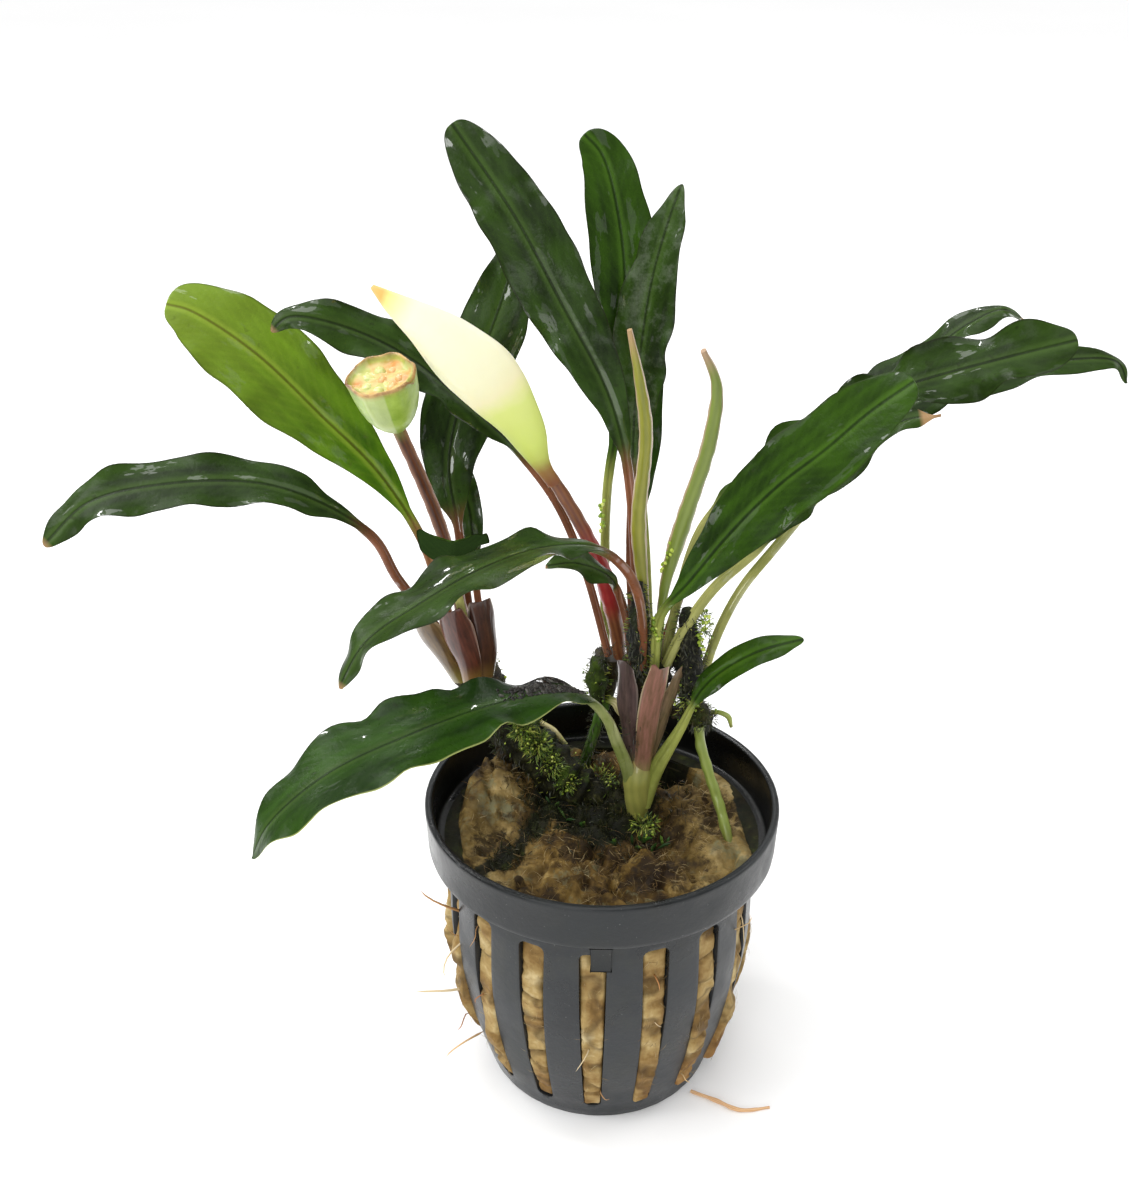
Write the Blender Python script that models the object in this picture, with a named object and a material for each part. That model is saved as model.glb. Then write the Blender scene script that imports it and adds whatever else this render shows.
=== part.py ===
"""Potted bucephalandra: a water plant in a black net pot packed with rock wool.

X points right, Y away from the camera and Z up, in metres. The origin is the centre of the
pot's base. Every leaf, stalk, root, sheath, stem and the flower parts are solids of their own.
"""
import math

import bmesh
import bpy
from mathutils import Vector

MM = 0.001

# Pot: the usual 50 mm net pot for water plants
POT_HEIGHT = 50.0
RIM_RADIUS = 27.5
COLLAR_FOOT_RADIUS = 27.1
COLLAR_FOOT_Z = 42.5
COLLAR_INSIDE_RADIUS = 26.3
WALL = 1.2
SLOTS = 16
FIRST_SLOT_ANGLE = -4.0
SLOT_ANGLE_TOP = 10.0
SLOT_ANGLE_FOOT = 7.8
SLOT_FOOT_Z = 3.5
SLOT_TOP_Z = 38.5
SLOT_END = 1.6
# Outside radius of the body at each height
BODY_PROFILE = ((0.0, 18.6), (3.5, 19.6), (5.1, 20.1), (14.0, 22.4), (26.0, 24.1),
                (36.9, 24.1), (38.5, 24.0), (42.5, 23.8))

# Rock wool plug
GAP = 0.3
WOOL_TOP_Z = 43.0
WOOL_BULGE = 0.35
WOOL_TOP_RADIUS = 20.6

# Leaf and stalk sections
CURVE_STEPS = 10
STALK_STATIONS = 4
BLADE_STATIONS = 10
SECTION_POINTS = 8
BLADE_THICKNESS = 0.7
BASE_TAPER = 0.8
FOOT_DEPTH = 0.4
TIP_CROWDING = 1.5

# Leaves. Each has a route in millimetres from its foot to its tip, its stalk's radius, and a foot's
# radius where it clasps a stem. Then come the share of the route where the blade starts, the blade's
# greatest width and where along the blade that is, how blunt the tip is (lower is blunter), how much
# the halves fold up, and the way the upper side faces at the blade's start and end.
LEAVES = {
    "leaf_low_left": dict(
        route=((-21.9, 11.3, 67.0), (-26.5, 8.6, 76.5), (-30.5, 4.5, 85.5), (-33, 1.5, 93.2),
               (-39, -1, 99.4), (-47, -2, 103), (-58.5, -4, 104), (-70, -6, 102), (-76, -9, 97)),
        stalk=0.75, blade=0.38, width=8.2, widest=0.55, blunt=0.45, fold=0.12,
        face=((0.3, -0.5, 0.8), (-0.1, -0.65, 0.75))),
    "leaf_pale_left": dict(
        route=((-22.3, 13.2, 67.0), (-25.5, 13.6, 80.5), (-28, 15, 87.5), (-34, 17, 97), (-42, 19, 105),
               (-51.5, 20.5, 114.5), (-60.5, 21.5, 120.5), (-64, 21.5, 121.5)),
        stalk=0.8, blade=0.28, width=13.8, widest=0.66, blunt=0.38, fold=0.10,
        face=((0.1, -0.8, 0.55), (0.0, -0.75, 0.65))),
    "leaf_behind_cup": dict(
        route=((1.2, 14.0, 66.8), (-2.5, 15, 81), (-7, 15.5, 92.5), (-12.5, 15.5, 100.5),
               (-21, 15.5, 109), (-29, 15, 116), (-37.5, 14, 120.5), (-44.5, 13, 122), (-47, 12, 120.3)),
        stalk=0.65, blade=0.42, width=8.0, widest=0.6, blunt=0.6, fold=0.15,
        face=((0.3, -0.35, 0.9), (0.0, -0.75, 0.65))),
    "leaf_back_left": dict(
        route=((-20.2, 14.9, 67.0), (-21.5, 17.5, 78), (-22.4, 20, 86), (-23.8, 23, 95.5),
               (-21.8, 26, 105), (-17, 29, 115.5), (-14, 31, 123.5), (-12, 32, 130)),
        stalk=0.75, blade=0.28, width=11.4, widest=0.5, blunt=0.5, fold=0.08,
        face=((0.1, -0.95, 0.3), (-0.1, -0.95, 0.2))),
    "leaf_hidden_left": dict(
        route=((-18.4, 14.4, 67.0), (-20, 20, 77), (-21, 26, 86), (-23.5, 31, 92.5), (-26, 35, 98)),
        stalk=0.6, blade=0.35, width=4.6, widest=0.5, blunt=0.6, fold=0.1,
        face=((0.1, -0.9, 0.4), (0.1, -0.7, 0.7))),
    "leaf_cupped_left": dict(
        route=((-19.8, 10.4, 67.0), (-21.5, 6.5, 80), (-22, 1.5, 88.5), (-21.2, -5, 95),
               (-20.5, -13, 99.5)),
        stalk=0.65, blade=0.44, width=9.8, widest=0.6, blunt=0.45, fold=0.28,
        face=((0.0, 0.3, 0.9), (0.0, 0.45, 0.9))),
    "leaf_tall_front": dict(
        route=((6.0, 5.8, 71.3), (5, 6.6, 83), (3.2, 7, 102), (0.5, 9, 112), (-6, 12, 124),
               (-12.5, 15, 135.5), (-18.5, 17, 144), (-21, 17.5, 147.5)),
        stalk=0.75, blade=0.34, width=10.6, widest=0.6, blunt=0.38, fold=0.1,
        face=((-0.1, -0.95, 0.25), (-0.25, -0.9, 0.35))),
    "leaf_tall_back": dict(
        route=((0.8, 17.0, 66.8), (0.6, 18, 76), (0.8, 18.6, 94), (2.6, 20.5, 107),
               (3.2, 24.5, 121), (2.2, 28.5, 132), (-0.4, 31, 141), (-3.0, 31.5, 143.8)),
        stalk=0.75, blade=0.34, width=9.8, widest=0.66, blunt=0.38, fold=0.1,
        face=((0.1, -0.98, 0.15), (0.1, -0.9, 0.35))),
    "leaf_filmed": dict(
        route=((5.0, 7.4, 71.3), (4.2, 11, 84.5), (4.4, 15, 96), (4.8, 18, 107), (5.7, 20, 117),
               (7.2, 22, 126), (9.4, 24, 133.5), (11, 25, 138)),
        stalk=0.7, blade=0.36, width=9.4, widest=0.5, blunt=0.6, fold=0.14,
        face=((-0.45, -0.85, 0.2), (-0.55, -0.8, 0.3))),
    "leaf_hidden_green": dict(
        route=((7.3, 8.0, 71.3), (6.8, 14, 83.5), (6.2, 20, 92), (6.0, 25, 102), (6.1, 29.5, 112.5),
               (6.6, 33, 122)),
        stalk=0.7, blade=0.36, width=7.0, widest=0.5, blunt=0.6, fold=0.1,
        face=((0.15, -0.97, 0.2), (0.2, -0.95, 0.2))),
    "leaf_front_right": dict(
        route=((7.7, 2.4, 71.3), (8.2, 0.6, 81), (12, -2, 88), (17.5, -4, 97), (23, -6, 104.5),
               (28.5, -8, 110.5), (33.5, -9, 116), (38.5, -10, 120.5)),
        stalk=0.75, blade=0.14, width=11.0, widest=0.6, blunt=0.6, taper=1.0, fold=0.1,
        face=((-0.35, -0.75, 0.55), (-0.3, -0.7, 0.65))),
    "leaf_arched_right": dict(
        route=((9.6, 5.6, 71.3), (11.5, 7, 82), (14.5, 8, 92), (23, 9, 103), (31.5, 9, 109),
               (43, 8, 114), (53.5, 6, 118), (63.5, 4, 121.5)),
        stalk=0.75, blade=0.26, width=9.8, widest=0.74, blunt=0.4, fold=0.1,
        face=((-0.5, -0.1, 0.85), (-0.1, -0.7, 0.7))),
    "leaf_hooked_right": dict(
        route=((9.1, 7.3, 71.3), (13.5, 13, 82.5), (19, 19, 91.5), (29, 24, 98.8), (40, 27, 105.6),
               (48.5, 28, 110.8), (55.5, 28, 116.5), (60, 27, 119), (63.5, 27, 117.5)),
        stalk=0.7, blade=0.40, width=6.6, widest=0.55, blunt=0.55, fold=0.12,
        face=((-0.4, -0.2, 0.9), (-0.15, -0.35, 0.95))),
    "leaf_long_right": dict(
        route=((14.6, 5.7, 64.0), (17.5, 6.5, 75), (21, 8, 82), (26, 10, 88), (32.5, 13, 95.5),
               (41, 16, 105), (50.5, 18, 110), (59.5, 18, 112.5), (68, 17, 114.5), (74, 16, 114.5),
               (76, 15.5, 111.5)),
        stalk=0.75, blade=0.46, width=7.4, widest=0.5, blunt=0.6, fold=0.12,
        face=((-0.5, -0.3, 0.8), (0.0, -0.45, 0.9))),
    "leaf_under_right": dict(
        route=((9.5, 3.2, 71.3), (11.7, 2.9, 77), (16, 3.4, 84), (22, 3.4, 90.5), (28, 3, 98),
               (34, 2.4, 105), (40, 1.6, 110.5), (45.5, 1, 112)),
        stalk=0.8, blade=0.40, width=7.6, widest=0.55, blunt=0.6, fold=0.18,
        face=((-0.45, -0.3, 0.8), (-0.2, -0.3, 0.9))),
    "leaf_small_right": dict(
        route=((7.3, 3.0, 46.5), (9.0, 2.2, 52.8), (11.9, 1.3, 61), (14.9, 0.4, 68.6), (18.3, -0.7, 73),
               (23, -1.8, 76.6), (28.8, -3, 79.2)),
        stalk=0.6, foot=1.9, blade=0.46, width=4.8, widest=0.5, blunt=0.5, fold=0.12,
        face=((-0.4, -0.5, 0.75), (-0.1, -0.6, 0.8))),
    "leaf_arching_front": dict(
        route=((5.8, 2.4, 71.3), (5.4, -0.4, 81.5), (3.4, -4, 90), (-1, -8, 96), (-8.5, -14, 99),
               (-16.5, -20.5, 99), (-24, -26.5, 97), (-30, -31.5, 94.5), (-33, -34.5, 90)),
        stalk=0.75, blade=0.34, width=10.2, widest=0.5, blunt=0.55, fold=0.12,
        face=((-0.3, -0.35, 0.9), (-0.6, -0.35, 0.75))),
    "leaf_under_arch": dict(
        route=((4.4, 3.7, 71.3), (3.2, 3.2, 80), (0.6, 1.7, 86.8), (-4, 0.4, 89.6), (-8.5, -1.6, 90.2)),
        stalk=0.65, blade=0.5, width=5.0, widest=0.5, blunt=0.6, fold=0.12,
        face=((-0.3, -0.3, 0.9), (-0.4, -0.4, 0.8))),
    "leaf_low_front": dict(
        route=((3.9, 3.2, 46.5), (3.6, 2.1, 52.8), (2.2, 0.8, 58.6), (0.2, -1.5, 65.4),
               (-4, -6, 71.8), (-14.5, -14, 75.2), (-27, -22, 74.8), (-37, -27, 72.2),
               (-44.5, -30, 66.5), (-47.2, -31, 61.5)),
        stalk=0.8, foot=1.15, blade=0.25, width=14.2, widest=0.62, blunt=0.5, taper=0.6, fold=0.08,
        face=((-0.2, -0.35, 0.9), (-0.65, -0.35, 0.65))),
}

# The pale flower hood, an open boat of one leaf-like bract on its own stalk, its back to the camera
SPATHE = dict(
    route=((-9.0, 4.8, 103.2), (-12.5, 3.4, 109.5), (-18.5, 1.6, 117.5), (-24.5, 1.2, 124),
           (-29, 1.8, 127.6), (-31.2, 2.6, 129.2)),
    stalk=1.0, blade=0.04, width=9.8, widest=0.48, blunt=0.75, fold=0.55, rounded=True,
    face=((0.25, 0.9, -0.1), (0.25, 0.85, -0.25)))

# Round stalks, rolled leaves and roots: a route and the radius at its start, middle and end
TUBES = {
    "spathe_stalk": (((3.0, 13.8, 66.8), (2.2, 11.6, 74), (0.0, 8.6, 84), (-3, 7, 92),
                      (-8.4, 5.0, 102.4)), (1.0, 1.6, 0.75)),
    "cup_stalk": (((-20.3, 12.6, 67.0), (-22, 10.2, 79), (-23.6, 8.2, 90), (-26, 6.8, 99),
                   (-28.7, 5.6, 106.6)), (1.0, 1.0, 0.95)),
    "rolled_leaf_olive": (((6.7, 4.0, 71.3), (6.2, 3.4, 80), (4.8, 2.6, 95), (5.4, 1.2, 109),
                           (4.4, 0, 116.5), (2.7, -1, 124.5)), (0.75, 1.0, 0.35)),
    "rolled_leaf_pale": (((8.2, 4.5, 71.3), (9.0, 4.2, 84), (11.4, 2.6, 96), (14.2, 1.2, 108),
                          (14.6, 0, 116.5), (12.4, -2, 122)), (0.75, 1.15, 0.4)),
    "rhizome_right": (((10.9, 6.0, 61.0), (13, 5.8, 61.8), (15.9, 5.6, 62)), (1.0, 1.3, 1.2)),
    "root_long": (((15.0, 3.5, 60.2), (15.4, 3.2, 57), (16.8, 1.6, 52.5), (18.6, -0.8, 47.5),
                   (19.6, -3.4, 44)), (0.8, 0.8, 0.8)),
    "root_curled": (((17.1, 5.8, 61.2), (18.2, 5.2, 61.6), (19.6, 4.6, 61.2), (20.2, 4.4, 59.4)),
                    (0.6, 0.7, 0.45)),
    "root_cream": (((-9.8, 20, 50.2), (-7.6, 19, 49.2), (-5.6, 18.4, 46.8)), (0.45, 0.5, 0.4)),
}

# Creeping stems with the moss and old leaf feet that thicken them: a route and a radius at each point
STEMS = {
    "rhizome_left": (((-12.8, 13.6, 43.3), (-14.6, 14.2, 50), (-17.6, 13.6, 58), (-20.2, 12.7, 66.3)),
                     (2.6, 2.9, 3.0, 3.4)),
    "rhizome_front": (((6.0, 9.4, 43.3), (6.3, 8.3, 50), (6.9, 6.6, 60), (7.1, 5.3, 70.6)),
                      (2.7, 2.7, 3.1, 3.5)),
    "rhizome_back": (((-2.4, 17.6, 43.3), (-1, 16.4, 50), (0.6, 15.4, 57), (1.7, 15.4, 66.2)),
                     (0.9, 0.95, 1.6, 2.6)),
}

# Old leaf sheaths that wrap the stems and open upwards: a route, the width and the way out
SHEATHS = {
    "sheath_left_outer": (((-22.5, 9.4, 64.3), (-24.8, 8.0, 69.6), (-27.0, 6.5, 75), (-28.2, 5.6, 79)),
                          3.8, (-0.45, -0.88, 0.1)),
    "sheath_left_middle": (((-20.3, 7.9, 64.8), (-20.9, 6.5, 70.2), (-22.1, 5.3, 75.4), (-23.0, 4.4, 79.6)),
                           4.0, (-0.1, -0.95, 0.1)),
    "sheath_left_right": (((-17.7, 9.2, 65.2), (-17.5, 8.3, 70.8), (-17.9, 7.4, 76.4), (-18.4, 6.8, 80.2)),
                          3.6, (0.45, -0.88, 0.1)),
    "sheath_front_left": (((4.6, 3.8, 54.5), (3.8, 2.7, 60.9), (3.2, 1.8, 66.7), (3.1, 1.1, 73.2)),
                          2.8, (-0.5, -0.85, 0.1)),
    "sheath_front_middle": (((6.5, 2.5, 54.8), (6.7, 1.5, 60.8), (7.2, 0.4, 66.9), (8.3, -0.4, 72.6)),
                            2.8, (-0.05, -1.0, 0.1)),
    "sheath_front_right": (((8.6, 4.0, 56.2), (9.9, 3.2, 62.1), (11.0, 2.4, 67.5), (12.0, 1.7, 72.3)),
                           2.4, (0.5, -0.85, 0.1)),
}
SHEATH_THICKNESS = 0.5
SHEATH_CURL = 0.32
SHEATH_SHAPE = ((0.0, 0.55), (0.35, 0.8), (0.75, 1.0), (1.0, 0.6))

# Cut cup: the open foot of an old flower, with seeds inside
CUP_FOOT = (-28.9, 5.4, 107.2)
CUP_MOUTH = (-30.7, 2.4, 117.2)
CUP_RADII = ((0.0, 1.2), (0.22, 2.2), (0.5, 3.5), (0.78, 4.4), (1.0, 4.75))
CUP_WALL = 0.7
CUP_INSIDE = ((1.0, 4.05), (0.8, 3.75), (0.62, 2.8), (0.56, 1.2))
CUP_SIDES = 14
SEEDS = 7
SEED_RING = 2.35
SEED_RADIUS = 0.85
SEED_LEVEL = 0.88

# A thin brown root that fell beside the pot
FALLEN_ROOT = (((15.6, -14.6, 0.4), (18.7, -15.6, 0.52), (22.5, -17.6, 0.5), (26.6, -17.1, 0.35)),
               (0.35, 0.45, 0.3))


def clear_scene():
    """Remove whatever the file opens with."""
    for item in list(bpy.data.objects):
        bpy.data.objects.remove(item, do_unlink=True)


def add_material(name, colour, roughness):
    """A plain Principled material."""
    material = bpy.data.materials.new(name)
    material.use_nodes = True
    shader = material.node_tree.nodes["Principled BSDF"]
    shader.inputs["Base Color"].default_value = (*colour, 1.0)
    shader.inputs["Roughness"].default_value = roughness
    material.diffuse_color = (*colour, 1.0)
    return material


def add_object(name, bm, material):
    """Put a closed mesh, made in millimetres, into the scene in metres."""
    bmesh.ops.recalc_face_normals(bm, faces=bm.faces)
    for vert in bm.verts:
        vert.co *= MM
    mesh = bpy.data.meshes.new(name)
    bm.to_mesh(mesh)
    bm.free()
    mesh.materials.append(material)
    item = bpy.data.objects.new(name, mesh)
    bpy.context.scene.collection.objects.link(item)
    return item


def mix(a, b, share):
    """A value part of the way from a to b."""
    return a + (b - a) * share


def smooth_step(value):
    """Ease from 0 to 1."""
    value = min(1.0, max(0.0, value))
    return value * value * (3.0 - 2.0 * value)


def profile_at(profile, place):
    """The value of a list of (place, value) pairs at a place between them."""
    for (low, first), (high, second) in zip(profile, profile[1:]):
        if place <= high:
            return mix(first, second, (place - low) / (high - low))
    return profile[-1][1]


def smooth_curve(route):
    """Closely spaced points on a smooth curve through a route (a centripetal Catmull-Rom curve)."""
    points = [Vector(point) for point in route]
    ends = [points[0] * 2 - points[1]] + points + [points[-1] * 2 - points[-2]]
    curve = [points[0]]
    for a, b, c, d in zip(ends, ends[1:], ends[2:], ends[3:]):
        ta = 0.0
        tb = ta + (b - a).length ** 0.5
        tc = tb + (c - b).length ** 0.5
        td = tc + (d - c).length ** 0.5
        for step in range(1, CURVE_STEPS + 1):
            t = mix(tb, tc, step / CURVE_STEPS)
            first = a.lerp(b, (t - ta) / (tb - ta))
            second = b.lerp(c, (t - tb) / (tc - tb))
            third = c.lerp(d, (t - tc) / (td - tc))
            left = first.lerp(second, (t - ta) / (tc - ta))
            right = second.lerp(third, (t - tb) / (td - tb))
            curve.append(left.lerp(right, (t - tb) / (tc - tb)))
    return curve


def stations(route, shares):
    """The point and the direction at each share of a route's length."""
    curve = smooth_curve(route)
    lengths = [0.0]
    for before, after in zip(curve, curve[1:]):
        lengths.append(lengths[-1] + (after - before).length)
    found = []
    for share in shares:
        target = share * lengths[-1]
        index = 0
        while index < len(curve) - 2 and lengths[index + 1] < target:
            index += 1
        span = lengths[index + 1] - lengths[index]
        point = curve[index].lerp(curve[index + 1], (target - lengths[index]) / span)
        before = curve[max(index - 1, 0)]
        after = curve[min(index + 2, len(curve) - 1)]
        found.append((point, (after - before).normalized()))
    return found


def across(direction, facing):
    """The sideways and the upward direction of a section that faces one way."""
    side = direction.cross(facing).normalized()
    return side, side.cross(direction).normalized()


def close_loft(bm, rings, tip=None):
    """Join rings of points into a closed skin, with flat ends or with a last point."""
    rows = [[bm.verts.new(point) for point in ring] for ring in rings]
    for lower, upper in zip(rows, rows[1:]):
        for i in range(len(lower)):
            j = (i + 1) % len(lower)
            bm.faces.new((lower[i], lower[j], upper[j], upper[i]))
    bm.faces.new(reversed(rows[0]))
    if tip is None:
        bm.faces.new(rows[-1])
        return
    end = bm.verts.new(tip)
    last = rows[-1]
    for i in range(len(last)):
        bm.faces.new((last[i], last[(i + 1) % len(last)], end))


def leaf_section(point, side, up, half_width, half_depth, flatness, fold, rounded):
    """Eight points round a stalk that flattens into a blade with a sharp or a rounded fold."""
    ring = []
    for index in range(SECTION_POINTS):
        angle = math.tau * index / SECTION_POINTS
        round_x = math.cos(angle)
        round_y = math.sin(angle)
        flat_x = {0: 1.0, 1: 0.5, 2: 0.0, 3: -0.5, 4: -1.0, 5: -0.5, 6: 0.0, 7: 0.5}[index]
        flat_y = {0: 0.0, 1: 1.0, 2: 1.0, 3: 1.0, 4: 0.0, 5: -1.0, 6: -1.0, 7: -1.0}[index]
        x = mix(round_x, flat_x, flatness) * half_width
        lift = x * x / half_width if rounded else abs(x)
        y = mix(round_y, flat_y, flatness) * half_depth + fold * flatness * lift
        ring.append(point + side * x + up * y)
    return ring


def build_leaf(name, spec, colour):
    """One leaf: a round stalk that opens into a blade and ends in a point."""
    start = spec["blade"]
    shares = [start * i / STALK_STATIONS for i in range(STALK_STATIONS)]
    for i in range(BLADE_STATIONS + 1):
        shares.append(start + (1.0 - start) * (1.0 - (1.0 - i / BLADE_STATIONS) ** TIP_CROWDING))
    first_face, last_face = (Vector(facing).normalized() for facing in spec["face"])
    power = math.log(0.5) / math.log(spec["widest"])
    rings = []
    places = stations(spec["route"], shares)
    for share, (point, direction) in zip(shares[:-1], places[:-1]):
        along = max(0.0, (share - start) / (1.0 - start))
        side, up = across(direction, first_face.lerp(last_face, along))
        exponent = spec["blunt"] if along > spec["widest"] else spec.get("taper", BASE_TAPER)
        blade = spec["width"] / 2 * math.sin(math.pi * along ** power) ** exponent
        clasp = (spec.get("foot", spec["stalk"]) - spec["stalk"]) * (1.0 - min(1.0, share / start))
        half_width = max(spec["stalk"] + clasp, blade)
        flatness = smooth_step(along / 0.12)
        half_depth = mix(spec["stalk"] + FOOT_DEPTH * clasp, BLADE_THICKNESS / 2, flatness)
        rings.append(leaf_section(point, side, up, half_width, half_depth, flatness, spec["fold"],
                                  spec.get("rounded", False)))
    bm = bmesh.new()
    close_loft(bm, rings, tip=places[-1][0])
    return add_object(name, bm, add_material(name, colour, 0.35))


def build_tube(name, route, radii, colour, sides=8, per_point=False, roughness=0.5):
    """A round stalk, stem or root along a route."""
    if per_point:
        shares = point_shares(route)
    else:
        shares = [i / 9 for i in range(10)]
    ring_radii = []
    for share in shares:
        if per_point:
            ring_radii.append(profile_at(list(zip(shares, radii)), share))
        else:
            ring_radii.append(profile_at(((0, radii[0]), (0.5, radii[1]), (1, radii[2])), share))
    rings = []
    for radius, (point, direction) in zip(ring_radii, stations(route, shares)):
        side, up = across(direction, Vector((0.05, -1.0, 0.1)))
        ring = []
        for index in range(sides):
            angle = math.tau * index / sides
            ring.append(point + side * radius * math.cos(angle) + up * radius * math.sin(angle))
        rings.append(ring)
    bm = bmesh.new()
    close_loft(bm, rings)
    return add_object(name, bm, add_material(name, colour, roughness))


def point_shares(route):
    """The share of a route's length at each of its points and halfway between them."""
    lengths = [0.0]
    for before, after in zip(route, route[1:]):
        lengths.append(lengths[-1] + (Vector(after) - Vector(before)).length)
    return [length / lengths[-1] for length in lengths]


def build_stem(name, route, radii, colour):
    """A creeping stem: ten-sided, with flat level ends so that it stands on the wool."""
    rings = []
    for point, radius in zip(route, radii):
        centre = Vector(point)
        rings.append([centre + Vector((radius * math.cos(a), radius * math.sin(a), 0.0))
                      for a in (math.tau * i / 10 for i in range(10))])
    bm = bmesh.new()
    close_loft(bm, rings)
    return add_object(name, bm, add_material(name, colour, 0.8))


def build_sheath(name, route, width, facing, colour):
    """A thin strip curled back round a stem."""
    rings = []
    outward = Vector(facing).normalized()
    for share, (point, direction) in zip((0, 0.25, 0.5, 0.75, 1), stations(route, (0, 0.25, 0.5, 0.75, 1))):
        side, up = across(direction, outward)
        half = width / 2 * profile_at(SHEATH_SHAPE, share)
        ring = []
        for x in (-1.0, -0.5, 0.0, 0.5, 1.0):
            ring.append(point + side * x * half - up * SHEATH_CURL * half * x * x)
        for x in (1.0, 0.5, 0.0, -0.5, -1.0):
            depth = SHEATH_CURL * half * x * x + SHEATH_THICKNESS
            ring.append(point + side * x * half * 0.96 - up * depth)
        rings.append(ring)
    bm = bmesh.new()
    close_loft(bm, rings)
    return add_object(name, bm, add_material(name, colour, 0.7))


def at_angle(radius, angle, height):
    """A point at an angle from the side that faces the camera, positive to the right."""
    turn = math.radians(angle)
    return Vector((radius * math.sin(turn), -radius * math.cos(turn), height))


def slot_half(height):
    """Half of a slot's angle at a height: slots narrow towards the foot."""
    share = (height - SLOT_FOOT_Z) / (SLOT_TOP_Z - SLOT_FOOT_Z)
    return mix(SLOT_ANGLE_FOOT, SLOT_ANGLE_TOP, min(1.0, max(0.0, share))) / 2


def pot_wall_rows():
    """Outer and inner rings of the slotted body: four points a slot, at each height."""
    outer = []
    inner = []
    for height, radius in BODY_PROFILE:
        half = slot_half(height)
        outer_row = []
        inner_row = []
        for slot in range(SLOTS):
            centre = FIRST_SLOT_ANGLE + 360.0 / SLOTS * slot
            for offset in (-half, -half * 0.45, half * 0.45, half):
                outer_row.append(at_angle(radius, centre + offset, height))
                inner_height = height if height > 0 else WALL
                inner_row.append(at_angle(radius - WALL, centre + offset, inner_height))
        outer.append(outer_row)
        inner.append(inner_row)
    return outer, inner


def strip(bm, lower, upper):
    """Join two rings of vertices with the same count."""
    for i in range(len(lower)):
        j = (i + 1) % len(lower)
        bm.faces.new((lower[i], lower[j], upper[j], upper[i]))


def build_pot():
    """The net pot: a slotted body with a collar round its top."""
    bm = bmesh.new()
    outer_points, inner_points = pot_wall_rows()
    outer = [[bm.verts.new(point) for point in row] for row in outer_points]
    inner = [[bm.verts.new(point) for point in row] for row in inner_points]
    count = len(outer[0])
    first_full = 2
    last_full = 5
    for rows in (outer, inner):
        for level in range(len(rows) - 1):
            lower, upper = rows[level], rows[level + 1]
            closed = level == 0 or level == len(rows) - 2
            for i in range(count):
                j = (i + 1) % count
                place = i % 4
                if closed or place == 3:
                    bm.faces.new((lower[i], lower[j], upper[j], upper[i]))
                elif level + 1 == first_full and place == 0:
                    bm.faces.new((lower[i], lower[j], upper[i]))
                elif level + 1 == first_full and place == 2:
                    bm.faces.new((lower[i], lower[j], upper[j]))
                elif level == last_full and place == 0:
                    bm.faces.new((lower[i], upper[j], upper[i]))
                elif level == last_full and place == 2:
                    bm.faces.new((lower[j], upper[j], upper[i]))
    for slot in range(SLOTS):
        a, b, c, d = (slot * 4 + i for i in range(4))
        edge = [(1, b), (1, c), (2, d), (3, d), (4, d), (5, d),
                (6, c), (6, b), (5, a), (4, a), (3, a), (2, a)]
        for (row, col), (next_row, next_col) in zip(edge, edge[1:] + edge[:1]):
            bm.faces.new((outer[row][col], outer[next_row][next_col],
                          inner[next_row][next_col], inner[row][col]))
    collar = ((COLLAR_FOOT_RADIUS, COLLAR_FOOT_Z), (RIM_RADIUS, POT_HEIGHT),
              (COLLAR_INSIDE_RADIUS, POT_HEIGHT),
              (COLLAR_INSIDE_RADIUS - 0.3, COLLAR_FOOT_Z + 1.0))
    last = outer[-1]
    for radius, height in collar:
        ring = []
        for slot in range(SLOTS):
            centre = FIRST_SLOT_ANGLE + 360.0 / SLOTS * slot
            half = SLOT_ANGLE_TOP / 2
            for offset in (-half, -half * 0.45, half * 0.45, half):
                ring.append(bm.verts.new(at_angle(radius, centre + offset, height)))
        strip(bm, last, ring)
        last = ring
    for i in range(count):
        inner[-1][i].co.z = COLLAR_FOOT_Z + 1.0
    strip(bm, last, inner[-1])
    bm.faces.new(reversed(outer[0]))
    bm.faces.new(inner[0])
    return add_object("net_pot", bm, add_material("net_pot", (0.035, 0.038, 0.042), 0.45))


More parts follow.
